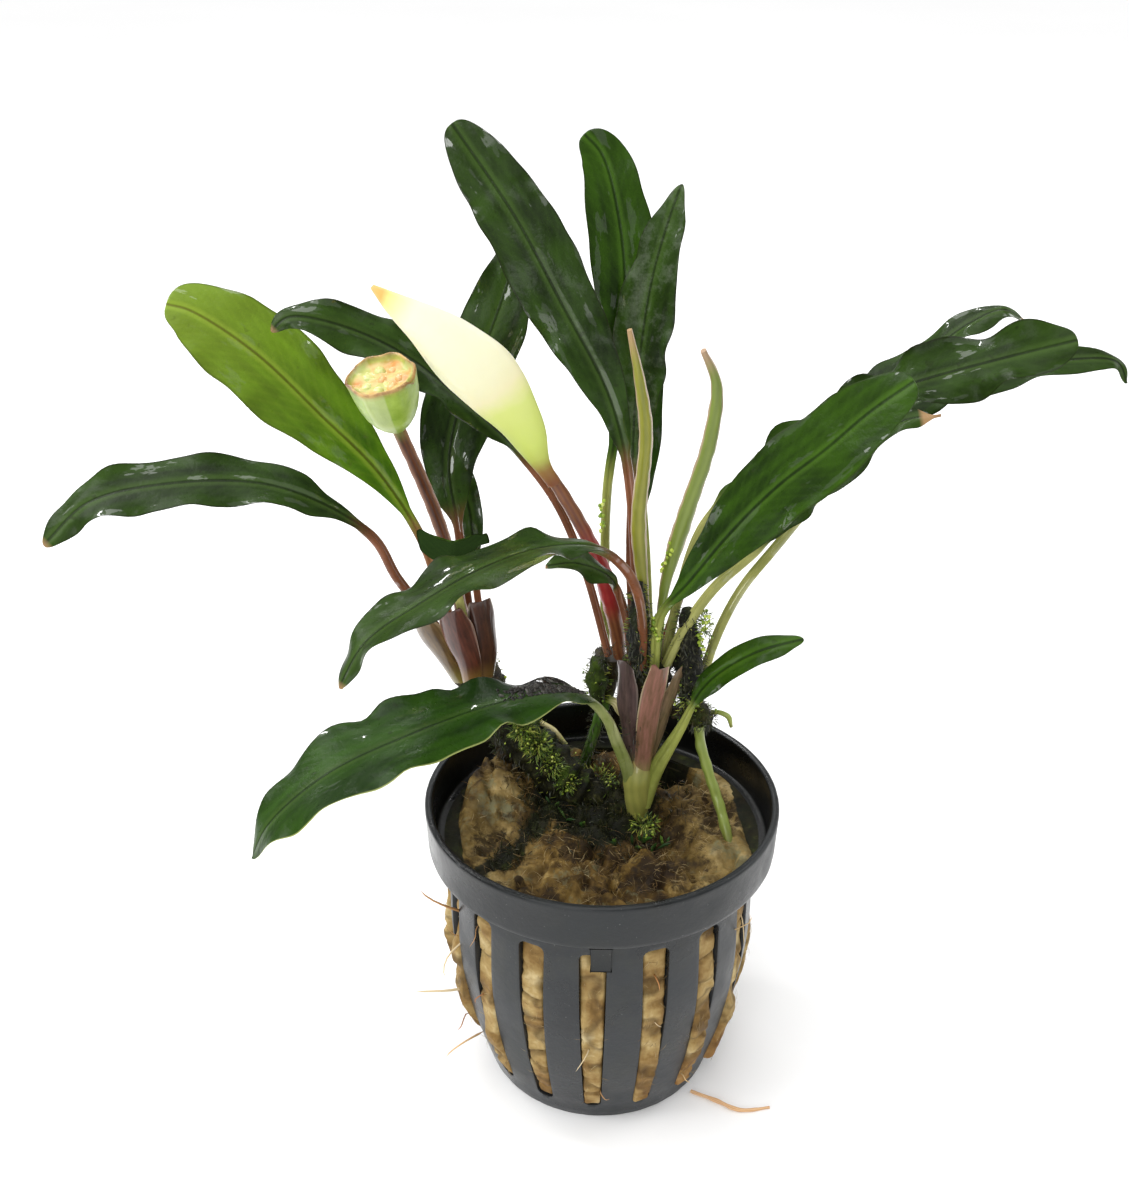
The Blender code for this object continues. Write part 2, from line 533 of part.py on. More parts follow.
def build_wool():
    """The rock wool plug, with a rib that fills each slot."""
    bm = bmesh.new()
    foot = WALL + GAP
    levels = (foot, SLOT_FOOT_Z + SLOT_END + 0.4, 14.0, 26.0, SLOT_TOP_Z - SLOT_END - 0.4, 40.6,
              WOOL_TOP_Z - 0.9)
    rows = []
    for height in levels:
        radius = profile_at(BODY_PROFILE, height) - WALL - GAP
        if height == foot:
            radius -= GAP
        if height > 40:
            radius = mix(radius, WOOL_TOP_RADIUS, (height - 40.0) / 2.1)
        gap_angle = math.degrees(GAP / 20.0)
        half = slot_half(min(height, 36.0)) - gap_angle
        row = []
        for slot in range(SLOTS):
            centre = FIRST_SLOT_ANGLE + 360.0 / SLOTS * slot
            row.append(bm.verts.new(at_angle(radius, centre - half, height)))
            row.append(bm.verts.new(at_angle(radius, centre + half, height)))
        rows.append(row)
    ribs = []
    for level in range(1, 5):
        height = levels[level]
        gap_angle = math.degrees(GAP / 20.0)
        half = slot_half(height) - gap_angle
        row = []
        for slot in range(SLOTS):
            centre = FIRST_SLOT_ANGLE + 360.0 / SLOTS * slot
            lump = WOOL_BULGE * (1.0 + math.sin(slot * 2.3 + level * 1.7))
            radius = profile_at(BODY_PROFILE, height) + lump - 0.15
            row.append(bm.verts.new(at_angle(radius, centre - half * 0.96, height)))
            row.append(bm.verts.new(at_angle(radius, centre + half * 0.96, height)))
        ribs.append(row)
    count = len(rows[0])
    for level in range(len(rows) - 1):
        lower, upper = rows[level], rows[level + 1]
        ribbed = 1 <= level <= 3
        for i in range(count):
            j = (i + 1) % count
            if ribbed and i % 2 == 0:
                low_rib, high_rib = ribs[level - 1], ribs[level]
                bm.faces.new((low_rib[i], low_rib[j], high_rib[j], high_rib[i]))
                bm.faces.new((lower[i], low_rib[i], high_rib[i], upper[i]))
                bm.faces.new((lower[j], upper[j], high_rib[j], low_rib[j]))
            else:
                bm.faces.new((lower[i], lower[j], upper[j], upper[i]))
    for i in range(0, count, 2):
        j = i + 1
        bm.faces.new((rows[1][i], rows[1][j], ribs[0][j], ribs[0][i]))
        bm.faces.new((rows[4][i], ribs[3][i], ribs[3][j], rows[4][j]))
    last = rows[-1]
    for share, drop in ((0.86, 0.15), (0.45, 0.0)):
        ring = []
        for i in range(count):
            angle = FIRST_SLOT_ANGLE + 360.0 / count * i
            lump = 0.35 * (1.0 + math.sin(i * 1.9)) if share > 0.5 else 0.0
            ring.append(bm.verts.new(at_angle(WOOL_TOP_RADIUS * share, angle, WOOL_TOP_Z - drop - lump)))
        strip(bm, last, ring)
        last = ring
    bm.faces.new(last)
    bm.faces.new(reversed(rows[0]))
    return add_object("rock_wool", bm, add_material("rock_wool", (0.32, 0.21, 0.10), 0.95))


def cup_ring(share, radius):
    """A ring of points across the cup at a share of its depth."""
    foot = Vector(CUP_FOOT)
    axis = Vector(CUP_MOUTH) - foot
    side, up = across(axis.normalized(), Vector((0.0, -1.0, 0.0)))
    centre = foot + axis * share
    return [centre + side * radius * math.cos(a) + up * radius * math.sin(a)
            for a in (math.tau * i / CUP_SIDES for i in range(CUP_SIDES))]


def build_cup():
    """The cut cup, hollow at the top."""
    rings = [cup_ring(share, radius) for share, radius in CUP_RADII + CUP_INSIDE]
    bm = bmesh.new()
    close_loft(bm, rings)
    return add_object("flower_cup", bm, add_material("flower_cup", (0.30, 0.42, 0.12), 0.5))


def build_seeds():
    """A ring of round seeds on the floor of the cup, and one in the middle."""
    foot = Vector(CUP_FOOT)
    axis = Vector(CUP_MOUTH) - foot
    side, up = across(axis.normalized(), Vector((0.0, -1.0, 0.0)))
    for index in range(SEEDS + 1):
        angle = math.tau * index / SEEDS
        reach = SEED_RING if index < SEEDS else 0.0
        radius = SEED_RADIUS if index < SEEDS else SEED_RADIUS * 0.95
        centre = foot + axis * SEED_LEVEL + side * reach * math.cos(angle) + up * reach * math.sin(angle)
        bm = bmesh.new()
        bmesh.ops.create_icosphere(bm, subdivisions=1, radius=radius)
        for vert in bm.verts:
            vert.co = vert.co + centre
        colour = (0.45, 0.55, 0.20) if index < SEEDS else (0.55, 0.28, 0.08)
        add_object("seed_%d" % (index + 1), bm, add_material("seed_%d" % (index + 1), colour, 0.45))


def main():
    """Model every piece of the plant and its pot."""
    clear_scene()
    build_pot()
    build_wool()
    green = (0.05, 0.13, 0.04)
    bright = {"leaf_pale_left": (0.16, 0.24, 0.04), "leaf_tall_back": (0.07, 0.19, 0.04),
              "leaf_front_right": (0.06, 0.18, 0.03), "leaf_small_right": (0.10, 0.25, 0.05)}
    for name, spec in LEAVES.items():
        build_leaf(name, spec, bright.get(name, green))
    build_leaf("spathe", SPATHE, (0.80, 0.78, 0.66))
    tube_colours = {"spathe_stalk": (0.30, 0.05, 0.05), "cup_stalk": (0.28, 0.09, 0.05),
                    "rolled_leaf_olive": (0.25, 0.25, 0.06), "rolled_leaf_pale": (0.30, 0.38, 0.14),
                    "root_cream": (0.62, 0.55, 0.38)}
    for name, (route, radii) in TUBES.items():
        build_tube(name, route, radii, tube_colours.get(name, (0.28, 0.34, 0.10)))
    build_tube("fallen_root", *FALLEN_ROOT, (0.34, 0.22, 0.10), sides=6)
    for name, (route, radii) in STEMS.items():
        build_stem(name, route, radii, (0.16, 0.12, 0.05))
    for name, (route, width, facing) in SHEATHS.items():
        build_sheath(name, route, width, facing, (0.30, 0.14, 0.08))
    build_cup()
    build_seeds()


main()
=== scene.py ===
"""The looks of a potted bucephalandra: leaves, flowers, stems, moss, rock wool and its net pot.

X points right, Y away from the camera and Z up, with the origin at the centre of the pot's base.
Sizes are in millimetres, unless a comment says metres, and are turned to metres when a piece is put
in the scene.
"""
import math
import random

import bmesh
import bpy
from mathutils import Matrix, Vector, noise


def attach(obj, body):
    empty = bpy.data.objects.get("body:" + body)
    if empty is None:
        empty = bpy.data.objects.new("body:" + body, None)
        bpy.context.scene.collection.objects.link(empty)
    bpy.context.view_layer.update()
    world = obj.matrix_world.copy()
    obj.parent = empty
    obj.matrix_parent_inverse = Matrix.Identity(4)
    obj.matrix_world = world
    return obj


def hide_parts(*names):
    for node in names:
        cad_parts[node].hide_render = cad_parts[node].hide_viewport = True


bl_info = {
    "name": "Potted bucephalandra",
    "version": (1, 0, 0),
    "blender": (4, 5, 0),
    "location": "View3D > Sidebar > Potted plant",
    "description": "Models a bucephalandra in a net pot packed with rock wool",
    "category": "Add Mesh",
}

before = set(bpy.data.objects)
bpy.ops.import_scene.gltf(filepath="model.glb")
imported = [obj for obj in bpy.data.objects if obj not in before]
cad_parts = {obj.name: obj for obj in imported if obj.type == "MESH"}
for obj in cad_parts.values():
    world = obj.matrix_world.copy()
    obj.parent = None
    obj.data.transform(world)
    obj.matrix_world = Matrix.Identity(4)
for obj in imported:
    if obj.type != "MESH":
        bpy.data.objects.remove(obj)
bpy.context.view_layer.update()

MM = 0.001

# Net pot: a tapered body with slots, and a wider collar at the rim
WALL = 1.2
SLOTS = 16
SLOT_PITCH = 360.0 / SLOTS
FIRST_SLOT_ANGLE = -4.0
SLOT_ANGLE_TOP = 10.0
SLOT_ANGLE_FOOT = 7.8
SLOT_FOOT_Z = 3.5
SLOT_TOP_Z = 38.5
SLOT_TOP_CORNER = 1.1
SLOT_FOOT_CORNER = 1.0
BODY_PROFILE = ((0.0, 18.6), (3.5, 19.6), (5.1, 20.1), (14.0, 22.4), (26.0, 24.1),
                (36.9, 24.1), (38.5, 24.0), (42.5, 23.8))
# Rows of the body's grid: radii on the floor, and heights below and above the slots
POT_FLOOR_RADII = (0.0, 6.0, 12.0, 17.0, 18.25)
POT_ROWS_BELOW = (0.0, 0.15, 0.5, 1.5, 2.6)
POT_ROWS_ABOVE = (39.2, 40.2, 41.4, 42.8)
# Columns between the middles of two ribs, and those of them that a slot opens
POT_COLUMNS_PER_SLOT = 10
OPEN_COLUMNS = range(3, 7)
# Degrees from a slot's edge, and from the middle of a rib, to the next column
SLOT_FRAME_ANGLE = 1.3
RIB_MIDDLE_ANGLE = 2.2
# A small tab moulded under the collar, its angles in degrees
TAB_ANGLE = -1.2
TAB_SPREAD_FOOT = 6.8
TAB_SPREAD_TOP = 7.4
TAB_FOOT_Z = 35.9
TAB_TOP_Z = 40.0
TAB_DEPTH = 1.1
# How far the moulded edges are rounded
BODY_ROUNDING = 0.14
TAB_ROUNDING = 0.16
# The collar's section, from its foot round the outside, the lip and the inner step
COLLAR_PROFILE = ((23.2, 42.35), (26.7, 42.35), (27.05, 42.45), (27.18, 42.7), (27.24, 43.2), (27.3, 44.6),
                  (27.42, 47.2), (27.52, 49.2), (27.54, 49.55), (27.46, 49.82), (27.25, 49.97), (26.9, 50.0),
                  (26.62, 49.97), (26.46, 49.85), (26.38, 49.6), (26.3, 47.2), (26.15, 44.6), (26.0, 43.7),
                  (25.8, 43.5), (25.3, 43.42), (22.5, 43.4), (22.4, 43.2))
COLLAR_STEPS = 192
LIP_Z = 49.5
# Rough places on the lip: the angle, half the spread in degrees, and the size
RIM_BURRS = ((-74.0, 9.0, 0.5), (-50.0, 4.0, 0.25), (88.0, 4.0, 0.35), (20.0, 3.0, 0.15))

# Rock wool plug: its grid, and how it sits in the pot
WOOL_COLUMNS = 320
WOOL_SIDE_ROWS = 104
WOOL_TOP_ROWS = 44
WOOL_FLOOR_RADII = (0.0, 6.0, 12.0, 17.2)
WOOL_FLOOR_Z = 1.5
WOOL_SIDE_FROM_Z = 1.7
WOOL_SIDE_TO_Z = 42.0
WOOL_TOP_Z = 43.0
WOOL_TOP_RADIUS = 25.3
WOOL_EDGE_RADIUS = 23.6
POT_STEP_Z = 43.55
POT_STEP_RADIUS = 22.2
# Places where the wool swells out of a slot: angle, height and size
WOOL_BULGES = ((-94.0, 27.0, 1.3), (-94.0, 14.0, 1.6), (-71.5, 17.0, 1.2), (-49.0, 12.0, 0.6),
               (18.5, 14.0, 0.7), (41.0, 12.0, 0.9), (63.5, 10.0, 1.2), (86.0, 17.0, 1.0))
# A hole in the wool's top: its place, its spread and its depth
WOOL_HOLE = (12.5, 16.0, 4.0, 6.0)
# Places where the wool's top stands away from the wall: angle, half spread in degrees, and the gap
WOOL_GAPS = ((-98.0, 50.0, 1.4), (165.0, 40.0, 3.5), (95.0, 28.0, 1.4))
# The wool stands up round the left stem: the place, the spread and the height
WOOL_MOUND = (-16.5, 9.5, 8.0, 5.0)

UP = Vector((0.0, 0.0, 1.0))
# Steps of a curve between two points of its route
CURVE_STEPS = 12
# The way that the sections of round pieces face
TUBE_FACING = (0.05, -1.0, 0.1)
# Where the outer edge of a rolled-up leaf lies, as a share of the way round, and how wide its step is
ROLL_SEAM = 0.94
ROLL_STEP = 0.06

# Leaf skins: points round a section, and rows along the stalk and the blade
LEAF_COLUMNS = 40
STALK_ROWS = 22
BLADE_ROWS = 84
# The power that crowds the rows towards the tip
TIP_CROWDING = 1.5
# The blade in its middle and at its margin
BLADE_THICKNESS = 0.7
MARGIN_THICKNESS = 0.14
# The share of a blade over which it opens at its base and closes at its tip
BLADE_END = 0.12
# The power that shapes a blade's base, where the leaf has no other
BASE_TAPER = 0.8
# A clasping foot is widened by less towards its back
FOOT_DEPTH = 0.4
# How far the margins wave up and down, where the leaf has no other value
RIPPLE = 0.75

# Leaves: a route from foot to tip; the stalk's radius, and the foot's where it clasps the stem; the
# share of the length at which the blade starts, its width and where it is widest; the powers that
# shape its tip (blunt) and its base (taper), lower for a rounder end; how steeply it folds and
# ripples; its finish, and its look if that is another; and the way it faces at its foot and its tip
LEAVES = {
    "leaf_low_left": dict(
        route=((-21.9, 11.3, 67.0), (-26.5, 8.6, 76.5), (-30.5, 4.5, 85.5), (-33, 1.5, 93.2),
               (-39, -1, 99.4), (-47, -2, 103), (-58.5, -4, 104), (-70, -6, 102), (-76, -9, 97)),
        stalk=0.75, blade=0.38, width=8.2, widest=0.55, blunt=0.45, fold=0.12,
        face=((0.3, -0.5, 0.8), (-0.1, -0.65, 0.75))),
    "leaf_pale_left": dict(
        route=((-22.3, 13.2, 67.0), (-25.5, 13.6, 80.5), (-28, 15, 87.5), (-34, 17, 97), (-42, 19, 105),
               (-51.5, 20.5, 114.5), (-60.5, 21.5, 120.5), (-64, 21.5, 121.5)),
        stalk=0.8, blade=0.28, width=13.8, widest=0.66, blunt=0.38, fold=0.10,
        finish="leaf_olive", ripple=0.25,
        face=((0.1, -0.8, 0.55), (0.0, -0.75, 0.65))),
    "leaf_behind_cup": dict(
        route=((1.2, 14.0, 66.8), (-2.5, 15, 81), (-7, 15.5, 92.5), (-12.5, 15.5, 100.5),
               (-21, 15.5, 109), (-29, 15, 116), (-37.5, 14, 120.5), (-44.5, 13, 122), (-47, 12, 120.3)),
        stalk=0.65, blade=0.42, width=8.0, widest=0.6, blunt=0.6, fold=0.15,
        face=((0.3, -0.35, 0.9), (0.0, -0.75, 0.65))),
    "leaf_back_left": dict(
        route=((-20.2, 14.9, 67.0), (-21.5, 17.5, 78), (-22.4, 20, 86), (-23.8, 23, 95.5),
               (-21.8, 26, 105), (-17, 29, 115.5), (-14, 31, 123.5), (-12, 32, 130)),
        stalk=0.75, blade=0.28, width=11.4, widest=0.5, blunt=0.5, fold=0.08,
        face=((0.1, -0.95, 0.3), (-0.1, -0.95, 0.2))),
    "leaf_hidden_left": dict(
        route=((-18.4, 14.4, 67.0), (-20, 20, 77), (-21, 26, 86), (-23.5, 31, 92.5), (-26, 35, 98)),
        stalk=0.6, blade=0.35, width=4.6, widest=0.5, blunt=0.6, fold=0.1,
        face=((0.1, -0.9, 0.4), (0.1, -0.7, 0.7))),
    "leaf_cupped_left": dict(
        route=((-19.8, 10.4, 67.0), (-21.5, 6.5, 80), (-22, 1.5, 88.5), (-21.2, -5, 95),
               (-20.5, -13, 99.5)),
        stalk=0.65, blade=0.44, width=9.8, widest=0.6, blunt=0.45, fold=0.28,
        look="leaf_dry",
        face=((0.0, 0.3, 0.9), (0.0, 0.45, 0.9))),
    "leaf_tall_front": dict(
        route=((6.0, 5.8, 71.3), (5, 6.6, 83), (3.2, 7, 102), (0.5, 9, 112), (-6, 12, 124),
               (-12.5, 15, 135.5), (-18.5, 17, 144), (-21, 17.5, 147.5)),
        stalk=0.75, blade=0.34, width=10.6, widest=0.6, blunt=0.38, fold=0.1,
        look="leaf_wet",
        face=((-0.1, -0.95, 0.25), (-0.25, -0.9, 0.35))),
    "leaf_tall_back": dict(
        route=((0.8, 17.0, 66.8), (0.6, 18, 76), (0.8, 18.6, 94), (2.6, 20.5, 107),
               (3.2, 24.5, 121), (2.2, 28.5, 132), (-0.4, 31, 141), (-3.0, 31.5, 143.8)),
        stalk=0.75, blade=0.34, width=9.8, widest=0.66, blunt=0.38, fold=0.1,
        finish="leaf_bright", ripple=0.35,
        face=((0.1, -0.98, 0.15), (0.1, -0.9, 0.35))),
    "leaf_filmed": dict(
        route=((5.0, 7.4, 71.3), (4.2, 11, 84.5), (4.4, 15, 96), (4.8, 18, 107), (5.7, 20, 117),
               (7.2, 22, 126), (9.4, 24, 133.5), (11, 25, 138)),
        stalk=0.7, blade=0.36, width=9.4, widest=0.5, blunt=0.6, fold=0.14,
        look="leaf_filmed", ripple=0.6,
        face=((-0.45, -0.85, 0.2), (-0.55, -0.8, 0.3))),
    "leaf_hidden_green": dict(
        route=((7.3, 8.0, 71.3), (6.8, 14, 83.5), (6.2, 20, 92), (6.0, 25, 102), (6.1, 29.5, 112.5),
               (6.6, 33, 122)),
        stalk=0.7, blade=0.36, width=7.0, widest=0.5, blunt=0.6, fold=0.1,
        finish="leaf_bright", ripple=0.35,
        face=((0.15, -0.97, 0.2), (0.2, -0.95, 0.2))),
    "leaf_front_right": dict(
        route=((7.7, 2.4, 71.3), (8.2, 0.6, 81), (12, -2, 88), (17.5, -4, 97), (23, -6, 104.5),
               (28.5, -8, 110.5), (33.5, -9, 116), (38.5, -10, 120.5)),
        stalk=0.75, blade=0.14, width=11.0, widest=0.6, blunt=0.36, taper=1.0, fold=0.1,
        finish="leaf_bright", ripple=0.35,
        face=((-0.35, -0.75, 0.55), (-0.3, -0.7, 0.65))),
    "leaf_arched_right": dict(
        route=((9.6, 5.6, 71.3), (11.5, 7, 82), (14.5, 8, 92), (23, 9, 103), (31.5, 9, 109),
               (43, 8, 114), (53.5, 6, 118), (63.5, 4, 121.5)),
        stalk=0.75, blade=0.26, width=9.8, widest=0.74, blunt=0.4, fold=0.1,
        look="leaf_pale_stalk", ripple=1.8,
        face=((-0.5, -0.1, 0.85), (-0.1, -0.7, 0.7))),
    "leaf_hooked_right": dict(
        route=((9.1, 7.3, 71.3), (13.5, 13, 82.5), (19, 19, 91.5), (29, 24, 98.8), (40, 27, 105.6),
               (48.5, 28, 110.8), (55.5, 28, 116.5), (60, 27, 119), (63.5, 27, 117.5)),
        stalk=0.7, blade=0.40, width=6.6, widest=0.55, blunt=0.55, fold=0.12,
        face=((-0.4, -0.2, 0.9), (-0.15, -0.35, 0.95))),
    "leaf_long_right": dict(
        route=((14.6, 5.7, 64.0), (17.5, 6.5, 75), (21, 8, 82), (26, 10, 88), (32.5, 13, 95.5),
               (41, 16, 105), (50.5, 18, 110), (59.5, 18, 112.5), (68, 17, 114.5), (74, 16, 114.5),
               (76, 15.5, 111.5)),
        stalk=0.75, blade=0.46, width=7.4, widest=0.5, blunt=0.6, fold=0.12,
        look="leaf_pale_stalk",
        face=((-0.5, -0.3, 0.8), (0.0, -0.45, 0.9))),
    "leaf_under_right": dict(
        route=((9.5, 3.2, 71.3), (11.7, 2.9, 77), (16, 3.4, 84), (22, 3.4, 90.5), (28, 3, 98),
               (34, 2.4, 105), (40, 1.6, 110.5), (45.5, 1, 112)),
        stalk=0.8, blade=0.40, width=7.6, widest=0.55, blunt=1.0, fold=0.18,
        look="leaf_withered",
        face=((-0.45, -0.3, 0.8), (-0.2, -0.3, 0.9))),
    "leaf_small_right": dict(
        route=((6.5, 2.8, 46.5), (8.4, 2.2, 52.8), (11.9, 1.3, 61), (14.9, 0.4, 68.6), (18.3, -0.7, 73),
               (23, -1.8, 76.6), (28.8, -3, 79.2)),
        stalk=0.6, foot=1.9, blade=0.46, width=4.8, widest=0.5, blunt=0.5, fold=0.12,
        finish="leaf_bright", ripple=0.35,
        face=((-0.4, -0.5, 0.75), (-0.1, -0.6, 0.8))),
    "leaf_arching_front": dict(
        route=((5.8, 2.4, 71.3), (5.4, -0.4, 81.5), (3.4, -4, 90), (-1, -8, 96), (-8.5, -14, 99),
               (-16.5, -20.5, 99), (-24, -26.5, 97), (-30, -31.5, 94.5), (-33, -34.5, 90)),
        stalk=0.75, blade=0.34, width=10.2, widest=0.5, blunt=0.55, fold=0.12,
        face=((-0.3, -0.35, 0.9), (-0.6, -0.35, 0.75))),
    "leaf_under_arch": dict(
        route=((4.4, 3.7, 71.3), (3.2, 3.2, 80), (0.6, 1.7, 86.8), (-4, 0.4, 89.6), (-8.5, -1.6, 90.2)),
        stalk=0.65, blade=0.5, width=5.0, widest=0.5, blunt=0.6, fold=0.12,
        face=((-0.3, -0.3, 0.9), (-0.4, -0.4, 0.8))),
    "leaf_low_front": dict(
        route=((5.2, 2.9, 46.5), (4.2, 2.1, 52.6), (2.3, 0.8, 58.8), (0.2, -1.5, 65.4),
               (-4, -6, 71.8), (-14.5, -14, 75.2), (-27, -22, 74.8), (-37, -27, 72.2),
               (-44.5, -30, 66.5), (-47.2, -31, 61.5)),
        stalk=0.8, foot=1.15, blade=0.25, width=14.2, widest=0.62, blunt=0.72, taper=0.6, fold=0.08,
        look="leaf_littered",
        face=((-0.2, -0.35, 0.9), (-0.65, -0.35, 0.65))),
}

# Stalks, rolled leaves, roots and a short side stem: a route, and radii evenly spaced along it
TUBES = {
    "spathe_stalk": (((3.0, 13.8, 66.8), (2.2, 11.6, 74), (0.0, 8.6, 84), (-3, 7, 92),
                      (-9.0, 5.0, 103.6)), (1.0, 1.35, 1.5, 1.1, 1.0, 0.8)),
    "cup_stalk": (((-20.3, 12.6, 67.0), (-22, 10.2, 79), (-23.6, 8.2, 90), (-26, 6.8, 99),
                   (-29.3, 4.9, 109.2)), (1.0, 1.0, 0.95)),
    "rolled_leaf_olive": (((6.7, 4.0, 71.3), (6.2, 3.4, 80), (4.8, 2.6, 95), (5.4, 1.2, 109),
                           (4.4, 0, 116.5), (2.7, -1, 124.5)), (0.75, 1.0, 0.35)),
    "rolled_leaf_pale": (((8.2, 4.5, 71.3), (9.0, 4.2, 84), (11.4, 2.6, 96), (14.2, 1.2, 108),
                          (14.6, 0, 116.5), (12.4, -2, 122)), (0.75, 1.15, 0.4)),
    "rhizome_right": (((10.9, 6.0, 61.0), (13, 5.8, 61.8), (15.9, 5.6, 62)), (1.0, 1.3, 1.2)),
    "root_long": (((15.0, 3.5, 60.2), (15.4, 3.2, 57), (16.8, 1.6, 52.5), (18.6, -0.8, 47.5),
                   (20.2, -4.6, 42.6)), (0.8, 0.8, 0.8)),
    "root_curled": (((17.1, 5.8, 61.2), (18.2, 5.2, 61.6), (19.6, 4.6, 61.2), (20.2, 4.4, 59.4)),
                    (0.38, 0.42, 0.28)),
    "root_cream": (((-9.8, 20, 50.2), (-7.6, 19, 49.2), (-5.6, 18.4, 46.8)), (0.45, 0.5, 0.4)),
}

# Creeping stems with the moss and old leaf feet that thicken them: a route and a radius at each point
STEMS = {
    "rhizome_left": (((-12.8, 13.6, 43.3), (-14.6, 14.2, 50), (-17.6, 13.6, 58), (-20.2, 12.7, 66.3)),
                     (2.6, 2.9, 3.0, 3.4)),
    "rhizome_front": (((6.0, 9.4, 43.3), (6.3, 8.3, 50), (6.9, 6.6, 60), (7.1, 5.3, 70.6)),
                      (2.7, 2.7, 3.1, 3.5)),
    "rhizome_back": (((-2.4, 17.6, 43.3), (-1, 16.4, 50), (0.6, 15.4, 57), (1.7, 15.4, 66.2)),
                     (0.9, 0.95, 1.6, 2.6)),
}

# Mats of algae and moss, a mossy stub and a root node on the stems: a route and a radius at each point
MATS = {
    "algae_mat_front": (((5.0, 1.8, 86.0), (5.1, 1.6, 80.0), (5.2, 2.2, 74.5), (5.3, 3.2, 69.5)),
                        (0.6, 1.35, 1.45, 0.8)),
    "algae_mat_right": (((12.4, 3.8, 80.5), (12.8, 3.8, 74.0), (13.4, 4.0, 67.0), (13.4, 4.6, 63.0)),
                        (1.0, 1.9, 2.0, 1.2)),
    "mossy_trunk": (((-16.2, 12.6, 56.0), (-13.0, 11.6, 53.0), (-9.0, 10.5, 49.3), (-4.9, 9.0, 45.6),
                     (0.0, 8.0, 42.6)), (2.4, 3.6, 3.8, 3.5, 2.8)),
    "mossy_nub": (((-0.2, 13.8, 66.5), (-0.6, 13.2, 62.5), (-0.4, 13.2, 58.6)), (1.2, 1.6, 1.0)),
    "root_node": (((12.6, 4.6, 63.4), (14.4, 4.0, 62.2), (16.0, 4.2, 61.2), (16.4, 4.8, 60.4)),
                  (1.5, 2.0, 1.7, 1.0)),
}

# A short young root: a route and a radius at its start, middle and end
YOUNG_ROOT = (((1.0, 14.2, 58.6), (2.4, 13.2, 58.4), (3.4, 12.8, 56.4)), (0.6, 0.75, 0.5))

# The green foot in which the front stalks and sheaths meet: a route and a radius at each point
CROWN_BASE = (((5.8, 3.2, 43.0), (5.8, 2.7, 46.2), (5.8, 2.8, 48.6), (5.9, 3.2, 51.4),
               (6.1, 4.2, 55.0)), (1.4, 1.9, 2.3, 2.3, 1.3))

# Old leaf sheaths that wrap the stems and open upwards: a route, the width and the way out
SHEATHS = {
    "sheath_left_outer": (((-22.5, 9.4, 64.3), (-24.8, 8.0, 69.6), (-27.0, 6.5, 75), (-28.2, 5.6, 79)),
                          3.8, (-0.45, -0.88, 0.1)),
    "sheath_left_middle": (((-20.3, 7.9, 64.8), (-20.9, 6.5, 70.2), (-22.1, 5.3, 75.4), (-23.0, 4.4, 79.6)),
                           4.0, (-0.1, -0.95, 0.1)),
    "sheath_left_right": (((-17.7, 9.2, 65.2), (-17.5, 8.3, 70.8), (-17.9, 7.4, 76.4), (-18.4, 6.8, 80.2)),
                          3.6, (0.45, -0.88, 0.1)),
    "sheath_front_left": (((5.2, 2.5, 49.5), (4.3, 2.7, 56.0), (3.5, 2.1, 63.5), (3.1, 1.1, 73.2)),
                          2.8, (-0.5, -0.85, 0.1)),
    "sheath_front_middle": (((6.0, 1.4, 49.0), (6.5, 1.5, 55.5), (7.0, 0.9, 63.0), (8.3, -0.4, 72.6)),
                            2.8, (-0.05, -1.0, 0.1)),
    "sheath_front_right": (((6.7, 2.2, 49.5), (8.2, 2.9, 56.5), (10.2, 2.7, 64.0), (12.0, 1.7, 72.3)),
                           2.4, (0.5, -0.85, 0.1)),
}

# Cut cup: the open foot of an old flower, with seeds inside
CUP_FOOT = (-28.9, 5.4, 107.2)
CUP_MOUTH = (-30.7, 2.4, 117.2)
SEEDS = 7
SEED_RING = 2.35
SEED_RADIUS = 0.85
SEED_LEVEL = 0.88

# A thin brown root that fell beside the pot
FALLEN_ROOT = (((14.9, -13.6, 0.24), (18.7, -15.6, 0.34), (22.5, -17.6, 0.33), (27.4, -17.0, 0.2)),
               (0.24, 0.32, 0.2))

# Hood of the flower: its route, the way its back faces, and at shares of its length half of its
# width and half of the angle that it wraps
SPATHE_ROUTE = ((-7.3, 4.6, 99.9), (-9.3, 3.8, 103.4), (-12.5, 3.4, 109.5), (-18.5, 1.6, 117.5),
                (-24.5, 1.2, 124.0), (-29.0, 1.8, 127.6), (-31.2, 2.6, 129.2))
SPATHE_BACK = (-0.25, -0.92, 0.15)
SPATHE_SHAPE = ((0.0, 1.05, 165.0), (0.05, 1.12, 165.0), (0.09, 1.3, 165.0), (0.135, 1.75, 162.0),
                (0.2, 2.6, 157.0), (0.285, 3.4, 142.0), (0.39, 4.4, 118.0), (0.54, 4.9, 97.0),
                (0.68, 4.1, 84.0), (0.835, 2.5, 71.0), (0.945, 1.1, 60.0), (1.0, 0.35, 50.0))

